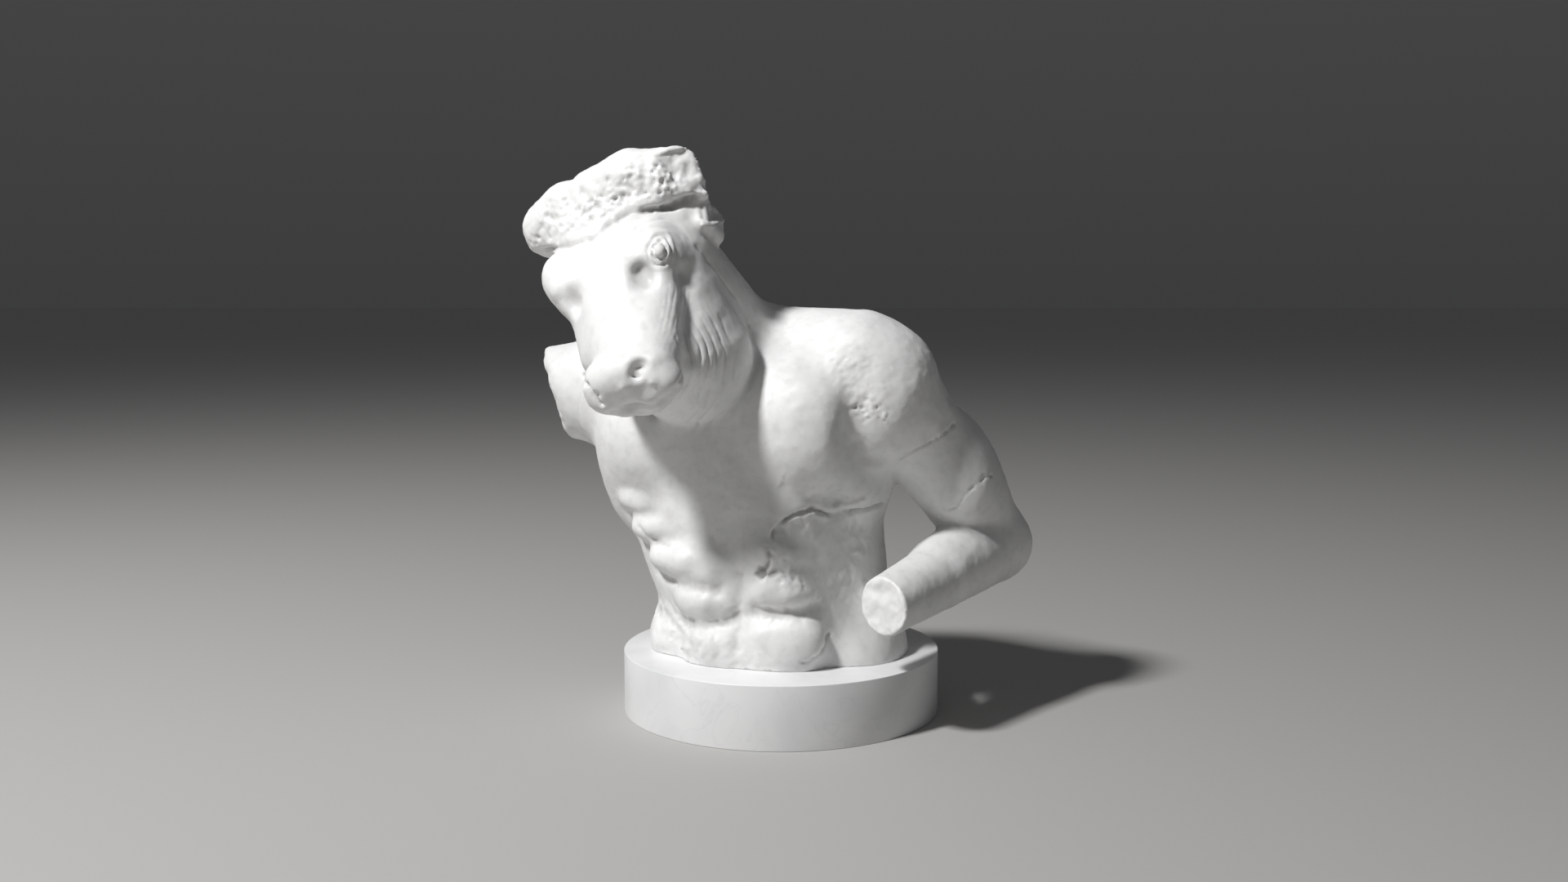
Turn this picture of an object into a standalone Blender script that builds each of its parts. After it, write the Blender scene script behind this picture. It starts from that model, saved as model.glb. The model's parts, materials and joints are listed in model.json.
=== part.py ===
"""Marble half-figure of a minotaur, a bull-headed man, standing on a plain round plinth.

Metres, +Z up. The origin is the centre of the plinth's underside and the front looks along -Y.
The figure is one stone and the plinth another. The figure is modelled as a sculptor would in clay:
rounded forms are laid on and taken off, each blended into what is there, the whole is meshed by
Blender's voxel Remesh, and its points settle onto the blended surface.

The figure's own measures are in parts, about a millimetre each, in the figure's frame: X to the right
of someone facing the front, Y away from them, Z up from the bed on the plinth. They are brought to
the figure's real height at the end.
"""

import math
from dataclasses import dataclass

import bmesh
import bpy
import numpy as np
from mathutils import Matrix

# Driving sizes, in metres.
FIGURE_HEIGHT = 0.727
PLINTH_DIAMETER = 0.468
PLINTH_HEIGHT = 0.0907
PLINTH_ARRIS = 0.0012
BED_GAP = 0.0003

# How finely the stone is faceted.
CLAY_VOXEL = 5.0
FIGURE_TRIANGLES = 9000
PLINTH_SIDES = 96

# Colours of the two stones, linear.
MARBLE = (0.86, 0.86, 0.85, 1.0)
PLINTH_MARBLE = (0.88, 0.88, 0.88, 1.0)

FAR = 1000.0
PROBE = 0.6


def frame_of(turn=0.0, tip=0.0, lean=0.0):
    """Rows left, front and up of a body facing -Y: turned to its right, left side raised, nodded."""
    turn, tip, lean = math.radians(turn), math.radians(tip), math.radians(lean)
    front = np.array([-math.sin(turn), -math.cos(turn), 0.0])
    left = np.array([math.cos(turn), -math.sin(turn), 0.0])
    up = np.array([0.0, 0.0, 1.0])
    left, up = left * math.cos(tip) + up * math.sin(tip), up * math.cos(tip) - left * math.sin(tip)
    front, up = front * math.cos(lean) - up * math.sin(lean), front * math.sin(lean) + up * math.cos(lean)
    return np.array([left, front, up])


def smooth_min(a, b, width):
    """The smaller of two distances, rounded where they are within width of each other."""
    overlap = np.maximum(width - np.abs(a - b), 0.0) / width
    return np.minimum(a, b) - overlap * overlap * width / 4


def smooth_curve(at, value, where):
    """A curve through the values given at rising places, read where asked (cubic Hermite)."""
    slope = np.gradient(value, at)
    place = np.clip(np.searchsorted(at, where) - 1, 0, len(at) - 2)
    span = at[place + 1] - at[place]
    t = np.clip((where - at[place]) / span, 0.0, 1.0)
    return (
        (1 + 2 * t) * (1 - t) ** 2 * value[place]
        + t * (1 - t) ** 2 * span * slope[place]
        + t * t * (3 - 2 * t) * value[place + 1]
        + t * t * (t - 1) * span * slope[place + 1]
    )


class Ball:
    """An ellipsoid, with its radii along the rows of a frame."""

    def __init__(self, centre, radii, frame=None):
        self.centre = np.array(centre, float)
        self.radii = np.array(radii, float) * np.ones(3)
        self.frame = np.eye(3) if frame is None else frame
        self.reach = self.radii.max()

    def distance(self, points):
        local = (points - self.centre) @ self.frame.T
        share = np.linalg.norm(local / self.radii, axis=1)
        slope = np.linalg.norm(local / self.radii**2, axis=1)
        return share * (share - 1.0) / np.maximum(slope, 1e-9)

    def shape(self, sphere):
        return self.centre + (sphere * self.radii) @ self.frame


class Limb:
    """A tapering round limb between two balls; it can be pressed flatter across one direction."""

    def __init__(self, start, end, start_radius, end_radius, across=None, press=1.0):
        self.start, self.end = np.array(start, float), np.array(end, float)
        self.radii = (start_radius, end_radius)
        self.axis = self.end - self.start
        self.length = np.linalg.norm(self.axis)
        self.centre = (self.start + self.end) / 2
        self.reach = self.length / 2 + max(self.radii)
        self.press = press
        self.across = None
        if across is not None:
            run = self.axis / self.length
            across = np.array(across, float)
            across = across - (across @ run) * run
            self.across = across / np.linalg.norm(across)

    def distance(self, points):
        offset = points - self.start
        share = np.clip(offset @ self.axis / self.length**2, 0.0, 1.0)
        radius = self.radii[0] + share * (self.radii[1] - self.radii[0])
        offset = offset - share[:, None] * self.axis
        if self.across is None:
            return np.linalg.norm(offset, axis=1) - radius
        side = offset @ self.across
        offset = offset + np.outer(side * (1 / self.press - 1), self.across)
        return (np.linalg.norm(offset, axis=1) - radius) * (1 + self.press) / 2

    def shape(self, sphere):
        ahead = sphere @ self.axis > 0
        radius = np.where(ahead, self.radii[1], self.radii[0])[:, None]
        offset = sphere * radius
        if self.across is not None:
            offset = offset - np.outer(offset @ self.across * (1 - self.press), self.across)
        return np.where(ahead[:, None], self.end, self.start) + offset


class Slab:
    """A block with rounded edges, with its half sizes along the rows of a frame."""

    def __init__(self, centre, half, rounding, frame=None):
        self.centre = np.array(centre, float)
        self.half = np.array(half, float) - rounding
        self.rounding = rounding
        self.frame = np.eye(3) if frame is None else frame
        self.reach = np.linalg.norm(self.half) + rounding

    def distance(self, points):
        local = np.abs((points - self.centre) @ self.frame.T) - self.half
        outside = np.linalg.norm(np.maximum(local, 0.0), axis=1)
        return outside + np.minimum(local.max(axis=1), 0.0) - self.rounding

    def shape(self, sphere):
        cube = np.clip(sphere * 1.9, -1, 1) * (self.half + self.rounding)
        return self.centre + cube @ self.frame


class Cut:
    """A flat break: all that lies past a plane, within a reach, is gone."""

    def __init__(self, point, normal, reach):
        self.point = np.array(point, float)
        self.normal = np.array(normal, float) / np.linalg.norm(normal)
        self.reach = reach
        self.centre = self.point + self.normal * reach * 0.8

    def distance(self, points):
        return (self.point - points) @ self.normal


class Trunk:
    """The body from the bed to the collar: oval sections that shift, swell and turn with height."""

    # Height, then the section's centre in X and Y, its half-breadth, its half-depth and its turn.
    SECTIONS = (
        (-60, 2, -6, 182, 146, 22),
        (0, 2, -6, 180, 146, 22),
        (60, -7, -4, 172, 140, 22),
        (120, -19, -2, 184, 138, 21),
        (180, -30, 0, 192, 136, 20),
        (240, -43, 4, 203, 136, 19),
        (300, -57, 12, 212, 138, 18),
        (360, -54, 16, 184, 134, 18),
        (420, -54, 22, 144, 124, 18),
        (470, -56, 30, 90, 90, 18),
    )
    BLUNTNESS = 2.1

    def __init__(self):
        rows = np.array(self.SECTIONS, float)
        self.low, self.high = rows[0, 0], rows[-1, 0]
        self.heights = np.arange(self.low, self.high + 1)
        self.columns = [smooth_curve(rows[:, 0], rows[:, i], self.heights) for i in range(1, 6)]
        self.centre = np.array([0.0, 0.0, (self.low + self.high) / 2])
        self.reach = FAR

    def section(self, heights):
        """Centre X and Y, half-breadth, half-depth and turn in radians at the given heights."""
        x, y, breadth, depth, turn = (np.interp(heights, self.heights, column) for column in self.columns)
        return x, y, breadth, depth, np.radians(turn)

    def distance(self, points):
        x, y, breadth, depth, turn = self.section(points[:, 2])
        right, away = points[:, 0] - x, points[:, 1] - y
        left = right * np.cos(turn) - away * np.sin(turn)
        front = -right * np.sin(turn) - away * np.cos(turn)
        power = self.BLUNTNESS
        across, through = np.abs(left) / breadth, np.abs(front) / depth
        share = np.maximum((across**power + through**power) ** (1 / power), 1e-6)
        slope = share ** (1 - power) * np.hypot(across ** (power - 1) / breadth, through ** (power - 1) / depth)
        side = (share - 1) / np.maximum(slope, 1 / breadth)
        ends = np.maximum(points[:, 2] - self.high, self.low - points[:, 2])
        return -smooth_min(-side, -ends, 40.0)

    def shape(self, sphere):
        height = self.low + (self.high - self.low) * (sphere[:, 2] + 1) / 2
        x, y, breadth, depth, turn = self.section(height)
        # A little inside the section, so that an arm that stands close to it stays free of it.
        ring = 0.84 * sphere[:, :2] / np.maximum(np.hypot(sphere[:, 0], sphere[:, 1]), 0.35)[:, None]
        left, front = ring[:, 0] * breadth, -ring[:, 1] * depth
        right = left * np.cos(turn) - front * np.sin(turn)
        away = -left * np.sin(turn) - front * np.cos(turn)
        return np.stack([x + right, y + away, height], axis=1)

    def frame(self, height):
        """Origin and frame of the body at a height, for placing what lies on it."""
        x, y, breadth, depth, turn = (float(v[0]) for v in self.section(np.array([float(height)])))
        return np.array([x, y, height]), frame_of(math.degrees(turn)), breadth, depth

    def place(self, left, front, height):
        """A point that far to the body's left and front of its axis, at that height."""
        origin, rows, _, _ = self.frame(height)
        return origin + left * rows[0] + front * rows[1]


@dataclass
class Stroke:
    """One step of modelling: a form laid on (or taken off), blended over a width."""

    form: object
    blend: float
    takes_off: bool = False


class Clay:
    """The figure as strokes in order, and the distance from its surface that they give."""

    def __init__(self):
        self.strokes = []

    def lay(self, form, blend=20.0):
        self.strokes.append(Stroke(form, blend))
        return form

    def take(self, form, blend=8.0):
        self.strokes.append(Stroke(form, blend, takes_off=True))
        return form

    def distance(self, points, probes=((0.0, 0.0, 0.0),)):
        """Distance from the modelled surface, negative inside the stone, at each probe round each point."""
        probes = np.array(probes, float)
        total = np.full((len(probes), len(points)), FAR)
        for stroke in self.strokes:
            form, blend = stroke.form, stroke.blend
            reach = form.reach + blend + 2 * CLAY_VOXEL
            near = np.flatnonzero(((points - form.centre) ** 2).sum(axis=1) < reach * reach)
            if not len(near):
                continue
            around = (points[near][None] + probes[:, None]).reshape(-1, 3)
            found = form.distance(around).reshape(len(probes), -1)
            if stroke.takes_off:
                total[:, near] = -smooth_min(-total[:, near], found, blend)
            else:
                total[:, near] = smooth_min(total[:, near], found, blend)
        return total

    def slope(self, points):
        """Distance and its gradient, from four probes round each point."""
        corners = np.array([(1, -1, -1), (-1, -1, 1), (-1, 1, -1), (1, 1, 1)], float)
        found = self.distance(points, PROBE * corners)
        return found.mean(axis=0), found.T @ corners / (4 * PROBE)

    def settle(self, points, edges, rounds=6, relax=3):
        """Points moved onto the surface, kept evenly spread for the first rounds."""
        count = np.maximum(np.bincount(edges.ravel(), minlength=len(points)), 1)[:, None]
        for step in range(rounds):
            if step < relax:
                total = np.zeros_like(points)
                for axis in range(3):
                    total[:, axis] = np.bincount(
                        edges.ravel(), weights=points[edges[:, ::-1], axis].ravel(), minlength=len(points)
                    )
                points = points + 0.5 * (total / count - points)
            found, gradient = self.slope(points)
            steep = np.maximum((gradient**2).sum(axis=1), 0.2)
            move = np.clip(found / steep, -2.5 * CLAY_VOXEL, 2.5 * CLAY_VOXEL)
            points = points - move[:, None] * gradient
        return points


def model_body(clay):
    """Lays the trunk and its muscles."""
    trunk = clay.lay(Trunk())
    _, rows, _, _ = trunk.frame(300)
    # Left flank, nearly flat.
    clay.take(Cut((95, -91, 120), (0.72, -0.69, 0.08), 200), 40)
    # Left breast, broken off along its lower edge, the ribs behind it and the hollow of the armpit.
    clay.lay(Ball(trunk.place(100, 62, 326), (108, 84, 108), rows), 14)
    clay.lay(Ball(trunk.place(172, -22, 262), (40, 78, 66), rows), 26)
    clay.take(Ball(trunk.place(218, 94, 322), (28, 36, 66), rows), 40)
    # Right breast and the ribs below it in steps.
    clay.lay(Ball(trunk.place(-92, 66, 316), (100, 82, 92), rows), 24)
    clay.lay(Ball(trunk.place(-160, 0, 280), (52, 88, 110), rows), 40)
    for left, out, height in ((-124, 80, 222), (-112, 88, 184), (-84, 104, 144)):
        clay.lay(Ball(trunk.place(left, out, height), (50, 34, 26), rows), 12)
    # The belly's strap muscles in swells on both sides of the middle line.
    for height, breadth, reach in ((152, 48, 32), (103, 50, 30), (34, 52, 40)):
        depth = trunk.frame(height)[3]
        clay.lay(Ball(trunk.place(58, depth - 28, height + 4), (breadth, 30, reach), rows), 20)
        clay.lay(Ball(trunk.place(-46, depth - 22, height - 14), (breadth, 32, reach), rows), 20)
    # Flanks over the hips.
    clay.lay(Ball(trunk.place(-142, 20, 18), (44, 88, 42), rows), 40)
    clay.lay(Ball(trunk.place(128, -4, -6), (54, 74, 84), rows), 50)
    for side in (1, -1):
        # Shoulder blade, and the back's two columns.
        clay.lay(Ball(trunk.place(side * 95, -95, 330), (75, 45, 90), rows), 30)
        clay.lay(Limb(trunk.place(side * 38, -100, 0), trunk.place(side * 38, -100, 300), 38, 34), 16)
    return trunk


def model_shoulders(clay, trunk):
    """Lays the yoke between the shoulders and the two shoulder caps."""
    left_joint = trunk.place(208, 8, 388)
    right_joint = trunk.place(-200, 0, 376)
    clay.lay(Limb(trunk.place(50, -10, 431), left_joint + (-32, 0, 30), 66, 76), 30)
    clay.lay(Limb(trunk.place(-50, -10, 428), right_joint, 70, 72), 40)
    clay.lay(Ball(left_joint + (4, 0, -22), (76, 84, 104), frame_of(18, -14)), 24)
    clay.lay(Ball(right_joint, (78, 78, 80), frame_of(18)), 30)
    return left_joint, right_joint


def model_left_arm(clay, joint):
    """Lays the bent left arm, broken off below the elbow."""
    elbow = np.array([317.0, 66.0, 136.0])
    wrist = np.array([138.0, -190.0, 98.0])
    clay.lay(Limb(joint + (34, 18, -44), elbow + (6, 0, 10), 70, 54), 14)
    middle = (joint + elbow) / 2
    clay.lay(Ball(middle + (18, -20, 0), (52, 46, 84), frame_of(30, 28)), 26)
    clay.lay(Ball(middle + (30, 26, 6), (54, 48, 98), frame_of(30, 28)), 36)
    clay.lay(Limb(elbow, wrist, 55, 40), 16)
    clay.lay(Limb(elbow + (-14, -20, 16), elbow + (wrist - elbow) * 0.5 + (0, 0, 6), 52, 46), 16)
    clay.lay(Ball(elbow + (10, 16, 2), (40, 38, 38)), 18)
    run = (wrist - elbow) / np.linalg.norm(wrist - elbow)
    clay.take(Cut(wrist + run * 2, run + (-0.15, 0.1, 0.1), 60), 3)


def model_right_stump(clay, joint):
    """Lays the stub of the lost right arm and breaks it off."""
    tip = np.array([-372.0, 118.0, 362.0])
    clay.lay(Limb(joint, tip, 76, 70), 24)
    clay.take(Cut((-345.0, 115.0, 370.0), (-0.94, -0.10, -0.28), 130), 14)


class Head:
    """The bull's head in its own frame: left, down the nose, and out of the face."""

    ORIGIN = (-235.0, -177.0, 553.0)
    TURN, TIP, NOD = 17.0, 18.0, 59.0

    def __init__(self):
        self.origin = np.array(self.ORIGIN)
        self.rows = frame_of(self.TURN, self.TIP, self.NOD)

    def at(self, left, down, out):
        return self.origin + np.array([left, down, out], float) @ self.rows

    def ball(self, left, down, out, radii):
        return Ball(self.at(left, down, out), radii, self.rows)

    def slab(self, left, down, out, half, rounding, swing=0.0, lean=0.0):
        """A block in the head's frame, swung across the face and leaned out of it, in degrees."""
        sine, cosine = math.sin(math.radians(swing)), math.cos(math.radians(swing))
        rows = np.array([[cosine, sine, 0.0], [-sine, cosine, 0.0], [0.0, 0.0, 1.0]]) @ self.rows
        sine, cosine = math.sin(math.radians(lean)), math.cos(math.radians(lean))
        rows = np.array([[cosine, 0.0, sine], [0.0, 1.0, 0.0], [-sine, 0.0, cosine]]) @ rows
        return Slab(self.at(left, down, out), half, rounding, rows)

    def limb(self, start, end, start_radius, end_radius, press=1.0):
        """A limb between two points of the head, pressed flatter out of the face."""
        return Limb(self.at(*start), self.at(*end), start_radius, end_radius, self.rows[2], press)


def model_neck(clay, trunk, head):
    """Lays the thick neck and the throat that bulges under the jaw."""
    clay.lay(Limb(trunk.place(-12, -4, 405), head.at(31, -44, -106), 90, 86), 30)
    clay.lay(Limb(head.at(30, 20, -114), np.array([-128.0, -104.0, 424.0]), 84, 90), 12)


def model_head(clay, head):
    """Lays the skull, face, muzzle, eyes, ear, horn stubs and forelock."""
    # Skull, narrower towards the face.
    clay.lay(head.ball(0, -44, -84, (106, 74, 64)), 20)
    clay.lay(head.ball(-4, -18, -36, (84, 84, 38)), 24)
    clay.lay(head.ball(-82, -34, -44, (30, 40, 36)), 16)
    clay.lay(head.ball(78, -100, -76, (40, 40, 40)), 20)
    clay.lay(head.ball(-8, -112, -88, (96, 54, 52)), 28)
    # Nose bridge, then the muzzle's pad.
    clay.lay(head.limb((6, 26, -56), (16, 136, -50), 70, 58, 0.80), 14)
    clay.lay(head.ball(12, 164, -40, (64, 34, 46)), 12)
    # Jaw.
    clay.lay(head.limb((6, 60, -96), (14, 152, -76), 60, 38), 20)
    # Flat cheeks and jaw, the left one square to the face.
    clay.lay(head.slab(59, 58, -84, (36, 92, 62), 32, 3, 18), 18)
    clay.lay(head.slab(-35, 50, -92, (42, 78, 60), 34, -9), 20)
    for side in (1, -1):
        # The boss the eye sits on, the eye, and the hollow in front of it.
        clay.lay(head.ball(side * 60, -14, -48, (38, 46, 40)), 14)
        clay.lay(head.ball(side * 75, -3, -25, (18, 20, 20)), 4)
        clay.take(head.ball(side * 56, 33, -4, (15, 21, 24)), 12)
    # The nostrils' curled wings, then the holes.
    clay.lay(head.limb((52, 164, -30), (60, 180, -40), 22, 20), 12)
    clay.lay(head.limb((60, 180, -40), (36, 188, -50), 19, 20), 12)
    clay.lay(head.limb((-22, 154, -30), (-26, 172, -42), 24, 22), 12)
    clay.lay(head.limb((-26, 172, -42), (-8, 182, -52), 20, 20), 12)
    clay.take(head.ball(38, 168, -2, (13, 19, 24)), 5)
    clay.take(head.ball(-46, 158, -6, (7, 14, 16)), 4)
    # The ears, stubs: the left with a shallow cup, the right smaller.
    clay.lay(head.slab(106, -84, -90, (26, 27, 30), 13), 10)
    clay.take(head.ball(115, -86, -54, (16, 20, 13)), 3)
    clay.lay(head.limb((-84, -84, -96), (-100, -92, -100), 26, 24), 10)
    # Forelock in two lobes between the horn stubs, hair down to the brow, the broken left horn.
    clay.lay(head.limb((-99, -131, -46), (-66, -139, -40), 41, 45), 12)
    clay.lay(head.limb((-16, -136, -36), (36, -142, -34), 48, 47), 10)
    clay.lay(head.limb((36, -142, -34), (84, -136, -36), 46, 40), 14)
    clay.lay(head.ball(-6, -100, -36, (98, 44, 38)), 12)
    clay.lay(head.slab(108, -130, -44, (38, 32, 34), 10), 12)
    clay.take(Cut(head.at(112, -132, -20), (0.34, -0.87, 0.34), 60), 5)
    clay.take(Cut(head.at(141, -130, -22), (0.90, -0.25, -0.32) @ head.rows, 72), 4)


def model_figure():
    """All the strokes of the figure."""
    clay = Clay()
    trunk = model_body(clay)
    left_joint, right_joint = model_shoulders(clay, trunk)
    model_left_arm(clay, left_joint)
    model_right_stump(clay, right_joint)
    head = Head()
    model_neck(clay, trunk, head)
    model_head(clay, head)
    return clay


def rough_mesh(clay):
    """One sphere pressed into the shape of each form laid on, all in one mesh."""
    bm = bmesh.new()
    for stroke in clay.strokes:
        if stroke.takes_off:
            continue
        made = bmesh.ops.create_uvsphere(bm, u_segments=32, v_segments=20, radius=1.0)["verts"]
        sphere = np.array([v.co for v in made])
        for vertex, place in zip(made, stroke.form.shape(sphere)):
            vertex.co = place
    bmesh.ops.recalc_face_normals(bm, faces=bm.faces)
    mesh = bpy.data.meshes.new("rough")
    bm.to_mesh(mesh)
    bm.free()
    return mesh


def applied(obj):
    """The object's mesh with its modifiers applied."""
    graph = bpy.context.evaluated_depsgraph_get()
    mesh = bpy.data.meshes.new_from_object(obj.evaluated_get(graph))
    obj.modifiers.clear()
    obj.data = mesh
    return mesh


def settle_mesh(mesh, clay, rounds, relax):
    """Settles a mesh's points onto the clay's surface."""
    points = np.empty(len(mesh.vertices) * 3, np.float32)
    edges = np.empty(len(mesh.edges) * 2, np.int32)
    mesh.vertices.foreach_get("co", points)
    mesh.edges.foreach_get("vertices", edges)
    points = clay.settle(points.reshape(-1, 3).astype(float), edges.reshape(-1, 2), rounds, relax)
    mesh.vertices.foreach_set("co", points.astype(np.float32).ravel())
    mesh.update()


def meshed(clay, collection, name, voxel):
    """The clay as an even closed mesh, in parts: remeshed, settled, remeshed and settled again."""
    obj = bpy.data.objects.new(name, rough_mesh(clay))
    collection.objects.link(obj)
    for rounds, relax in ((7, 4), (6, 3)):
        remesh = obj.modifiers.new("clay", "REMESH")
        remesh.mode = "VOXEL"
        remesh.voxel_size = voxel
        settle_mesh(applied(obj), clay, rounds, relax)
    return obj


def stone_material(name, colour):
    """A matt stone's material."""
    material = bpy.data.materials.new(name)
    material.use_nodes = True
    shader = material.node_tree.nodes["Principled BSDF"]
    shader.inputs["Base Color"].default_value = colour
    shader.inputs["Roughness"].default_value = 0.7
    return material


def figure_object(collection):
    """The figure: faceted, sawn flat at the bed and brought to size."""
    obj = meshed(model_figure(), collection, "minotaur_figure", CLAY_VOXEL)
    facets = obj.modifiers.new("facets", "DECIMATE")
    facets.ratio = FIGURE_TRIANGLES / (2 * len(obj.data.polygons))
    applied(obj)
    bm = bmesh.new()
    bm.from_mesh(obj.data)
    bmesh.ops.bisect_plane(
        bm, geom=bm.verts[:] + bm.edges[:] + bm.faces[:], plane_co=(0, 0, 0), plane_no=(0, 0, 1), clear_inner=True
    )
    rim = [edge for edge in bm.edges if edge.is_boundary]
    bmesh.ops.triangle_fill(bm, use_beauty=True, use_dissolve=False, edges=rim)
    bmesh.ops.triangulate(bm, faces=bm.faces[:])
    bmesh.ops.recalc_face_normals(bm, faces=bm.faces)
    top = max(vertex.co.z for vertex in bm.verts)
    bm.transform(Matrix.Scale(FIGURE_HEIGHT / top, 4))
    bm.transform(Matrix.Translation((0, 0, PLINTH_HEIGHT + BED_GAP)))
    bm.to_mesh(obj.data)
    bm.free()
    obj.data.materials.append(stone_material("figure_marble", MARBLE))
    return obj


def plinth_object(collection):
    """The round plinth with a fine chamfer on both rims."""
    bm = bmesh.new()
    bmesh.ops.create_cone(
        bm,
        cap_ends=True,
        segments=PLINTH_SIDES,
        radius1=PLINTH_DIAMETER / 2,
        radius2=PLINTH_DIAMETER / 2,
        depth=PLINTH_HEIGHT,
        matrix=Matrix.Translation((0, 0, PLINTH_HEIGHT / 2)),
    )
    rims = [edge for edge in bm.edges if abs(edge.verts[0].co.z - edge.verts[1].co.z) < PLINTH_HEIGHT / 2]
    bmesh.ops.bevel(bm, geom=rims, offset=PLINTH_ARRIS, segments=1, affect="EDGES")
    mesh = bpy.data.meshes.new("round_plinth")
    bm.to_mesh(mesh)
    bm.free()
    mesh.materials.append(stone_material("plinth_marble", PLINTH_MARBLE))
    obj = bpy.data.objects.new("round_plinth", mesh)
    collection.objects.link(obj)
    return obj


def main():
    """Builds the figure on its plinth."""
    for obj in list(bpy.data.objects):
        bpy.data.objects.remove(obj)
    collection = bpy.data.collections.new("minotaur_statue")
    bpy.context.scene.collection.children.link(collection)
    figure_object(collection)
    plinth_object(collection)


if __name__ == "__main__":
    main()
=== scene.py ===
"""Marble half-figure of a bull-headed man on a round plinth, dressed for rendering.

The figure is carved again at a finer grain than the frame's solid, from the same forms: each is
laid on or taken off like clay and blended in, and Blender's voxel Remesh turns them into a mesh
whose points settle onto the blended surface. The chisel's finer work then goes in as relief:
cracks, breaks, curls, folds of skin and worn patches, each moved along the surface's own normal.

The figure's own measures are in parts, about a millimetre each, from the centre of its bed: X to the
right of someone facing the front, Y away from them, Z up. The row frame is in metres.
"""

from __future__ import annotations

import json
import logging
import math
from dataclasses import dataclass, field
from enum import Enum, IntEnum

import bmesh
import bpy
import numpy as np
from mathutils import Matrix, Vector
from mathutils.bvhtree import BVHTree

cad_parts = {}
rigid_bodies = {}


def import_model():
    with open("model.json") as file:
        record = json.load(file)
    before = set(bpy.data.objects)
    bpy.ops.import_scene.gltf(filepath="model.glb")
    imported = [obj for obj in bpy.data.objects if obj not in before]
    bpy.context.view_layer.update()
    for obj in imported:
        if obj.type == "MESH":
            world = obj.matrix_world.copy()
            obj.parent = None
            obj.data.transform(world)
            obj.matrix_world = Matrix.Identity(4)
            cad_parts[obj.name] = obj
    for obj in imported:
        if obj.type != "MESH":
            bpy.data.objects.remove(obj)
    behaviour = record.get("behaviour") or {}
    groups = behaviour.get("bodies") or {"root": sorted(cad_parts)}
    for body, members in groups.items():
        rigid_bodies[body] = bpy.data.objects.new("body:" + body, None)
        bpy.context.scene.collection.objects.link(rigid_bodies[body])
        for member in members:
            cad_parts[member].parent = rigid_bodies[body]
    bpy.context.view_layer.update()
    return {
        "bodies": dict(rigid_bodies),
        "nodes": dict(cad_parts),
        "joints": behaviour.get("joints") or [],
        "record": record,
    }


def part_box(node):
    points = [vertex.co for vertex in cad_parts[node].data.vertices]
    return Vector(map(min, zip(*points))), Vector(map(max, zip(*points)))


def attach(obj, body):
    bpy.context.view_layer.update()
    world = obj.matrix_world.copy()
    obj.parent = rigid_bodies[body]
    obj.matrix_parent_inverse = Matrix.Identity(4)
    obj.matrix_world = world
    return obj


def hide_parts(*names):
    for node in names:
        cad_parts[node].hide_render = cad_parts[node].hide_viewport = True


LOG = logging.getLogger("minotaur")
ROWS = np.ndarray
Point = tuple[float, float, float]
Spot = tuple[float, float]

FIGURE_NODE = "minotaur_figure"
PLINTH_NODE = "round_plinth"
# In parts: farther than anything on the figure, and how far round a point its slope is probed.
FAR = 1000.0
PROBE = 0.6
# Keeps a quotient finite.
TINY = 1e-9


class Side(Enum):
    """The body's own sides, as signs along its left."""

    LEFT = 1
    RIGHT = -1


# Forms: each gives the distance of points from its surface, negative inside.


def frame_of(turn: float = 0.0, tip: float = 0.0, lean: float = 0.0) -> ROWS:
    """Rows left, front and up of a body that faces the front.

    Args:
        turn: degrees turned to the body's right.
        tip: degrees that its left side is raised.
        lean: degrees that it is nodded forward.

    Returns:
        A 3 by 3 array, one unit row for each direction.
    """
    turn, tip, lean = math.radians(turn), math.radians(tip), math.radians(lean)
    front = np.array([-math.sin(turn), -math.cos(turn), 0.0])
    left = np.array([math.cos(turn), -math.sin(turn), 0.0])
    up = np.array([0.0, 0.0, 1.0])
    left, up = left * math.cos(tip) + up * math.sin(tip), up * math.cos(tip) - left * math.sin(tip)
    front, up = front * math.cos(lean) - up * math.sin(lean), front * math.sin(lean) + up * math.cos(lean)
    return np.array([left, front, up])


def smooth_min(a: np.ndarray, b: np.ndarray, width: float) -> np.ndarray:
    """The smaller of two distances, rounded where they are within width of each other."""
    overlap = np.maximum(width - np.abs(a - b), 0.0) / width
    return np.minimum(a, b) - overlap * overlap * width / 4


def smooth_curve(at: np.ndarray, value: np.ndarray, where: np.ndarray) -> np.ndarray:
    """A cubic curve through given values.

    Args:
        at: the places of the values, rising.
        value: the value at each of them.
        where: the places at which the curve is read.

    Returns:
        One value for each place asked.
    """
    slope = np.gradient(value, at)
    place = np.clip(np.searchsorted(at, where) - 1, 0, len(at) - 2)
    span = at[place + 1] - at[place]
    t = np.clip((where - at[place]) / span, 0.0, 1.0)
    return (
        (1 + 2 * t) * (1 - t) ** 2 * value[place]
        + t * (1 - t) ** 2 * span * slope[place]
        + t * t * (3 - 2 * t) * value[place + 1]
        + t * t * (t - 1) * span * slope[place + 1]
    )


def smooth_step(low: float, high: float, value: np.ndarray) -> np.ndarray:
    """Rises smoothly from 0 at low to 1 at high."""
    t = np.clip((value - low) / (high - low), 0.0, 1.0)
    return t * t * (3 - 2 * t)


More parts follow.
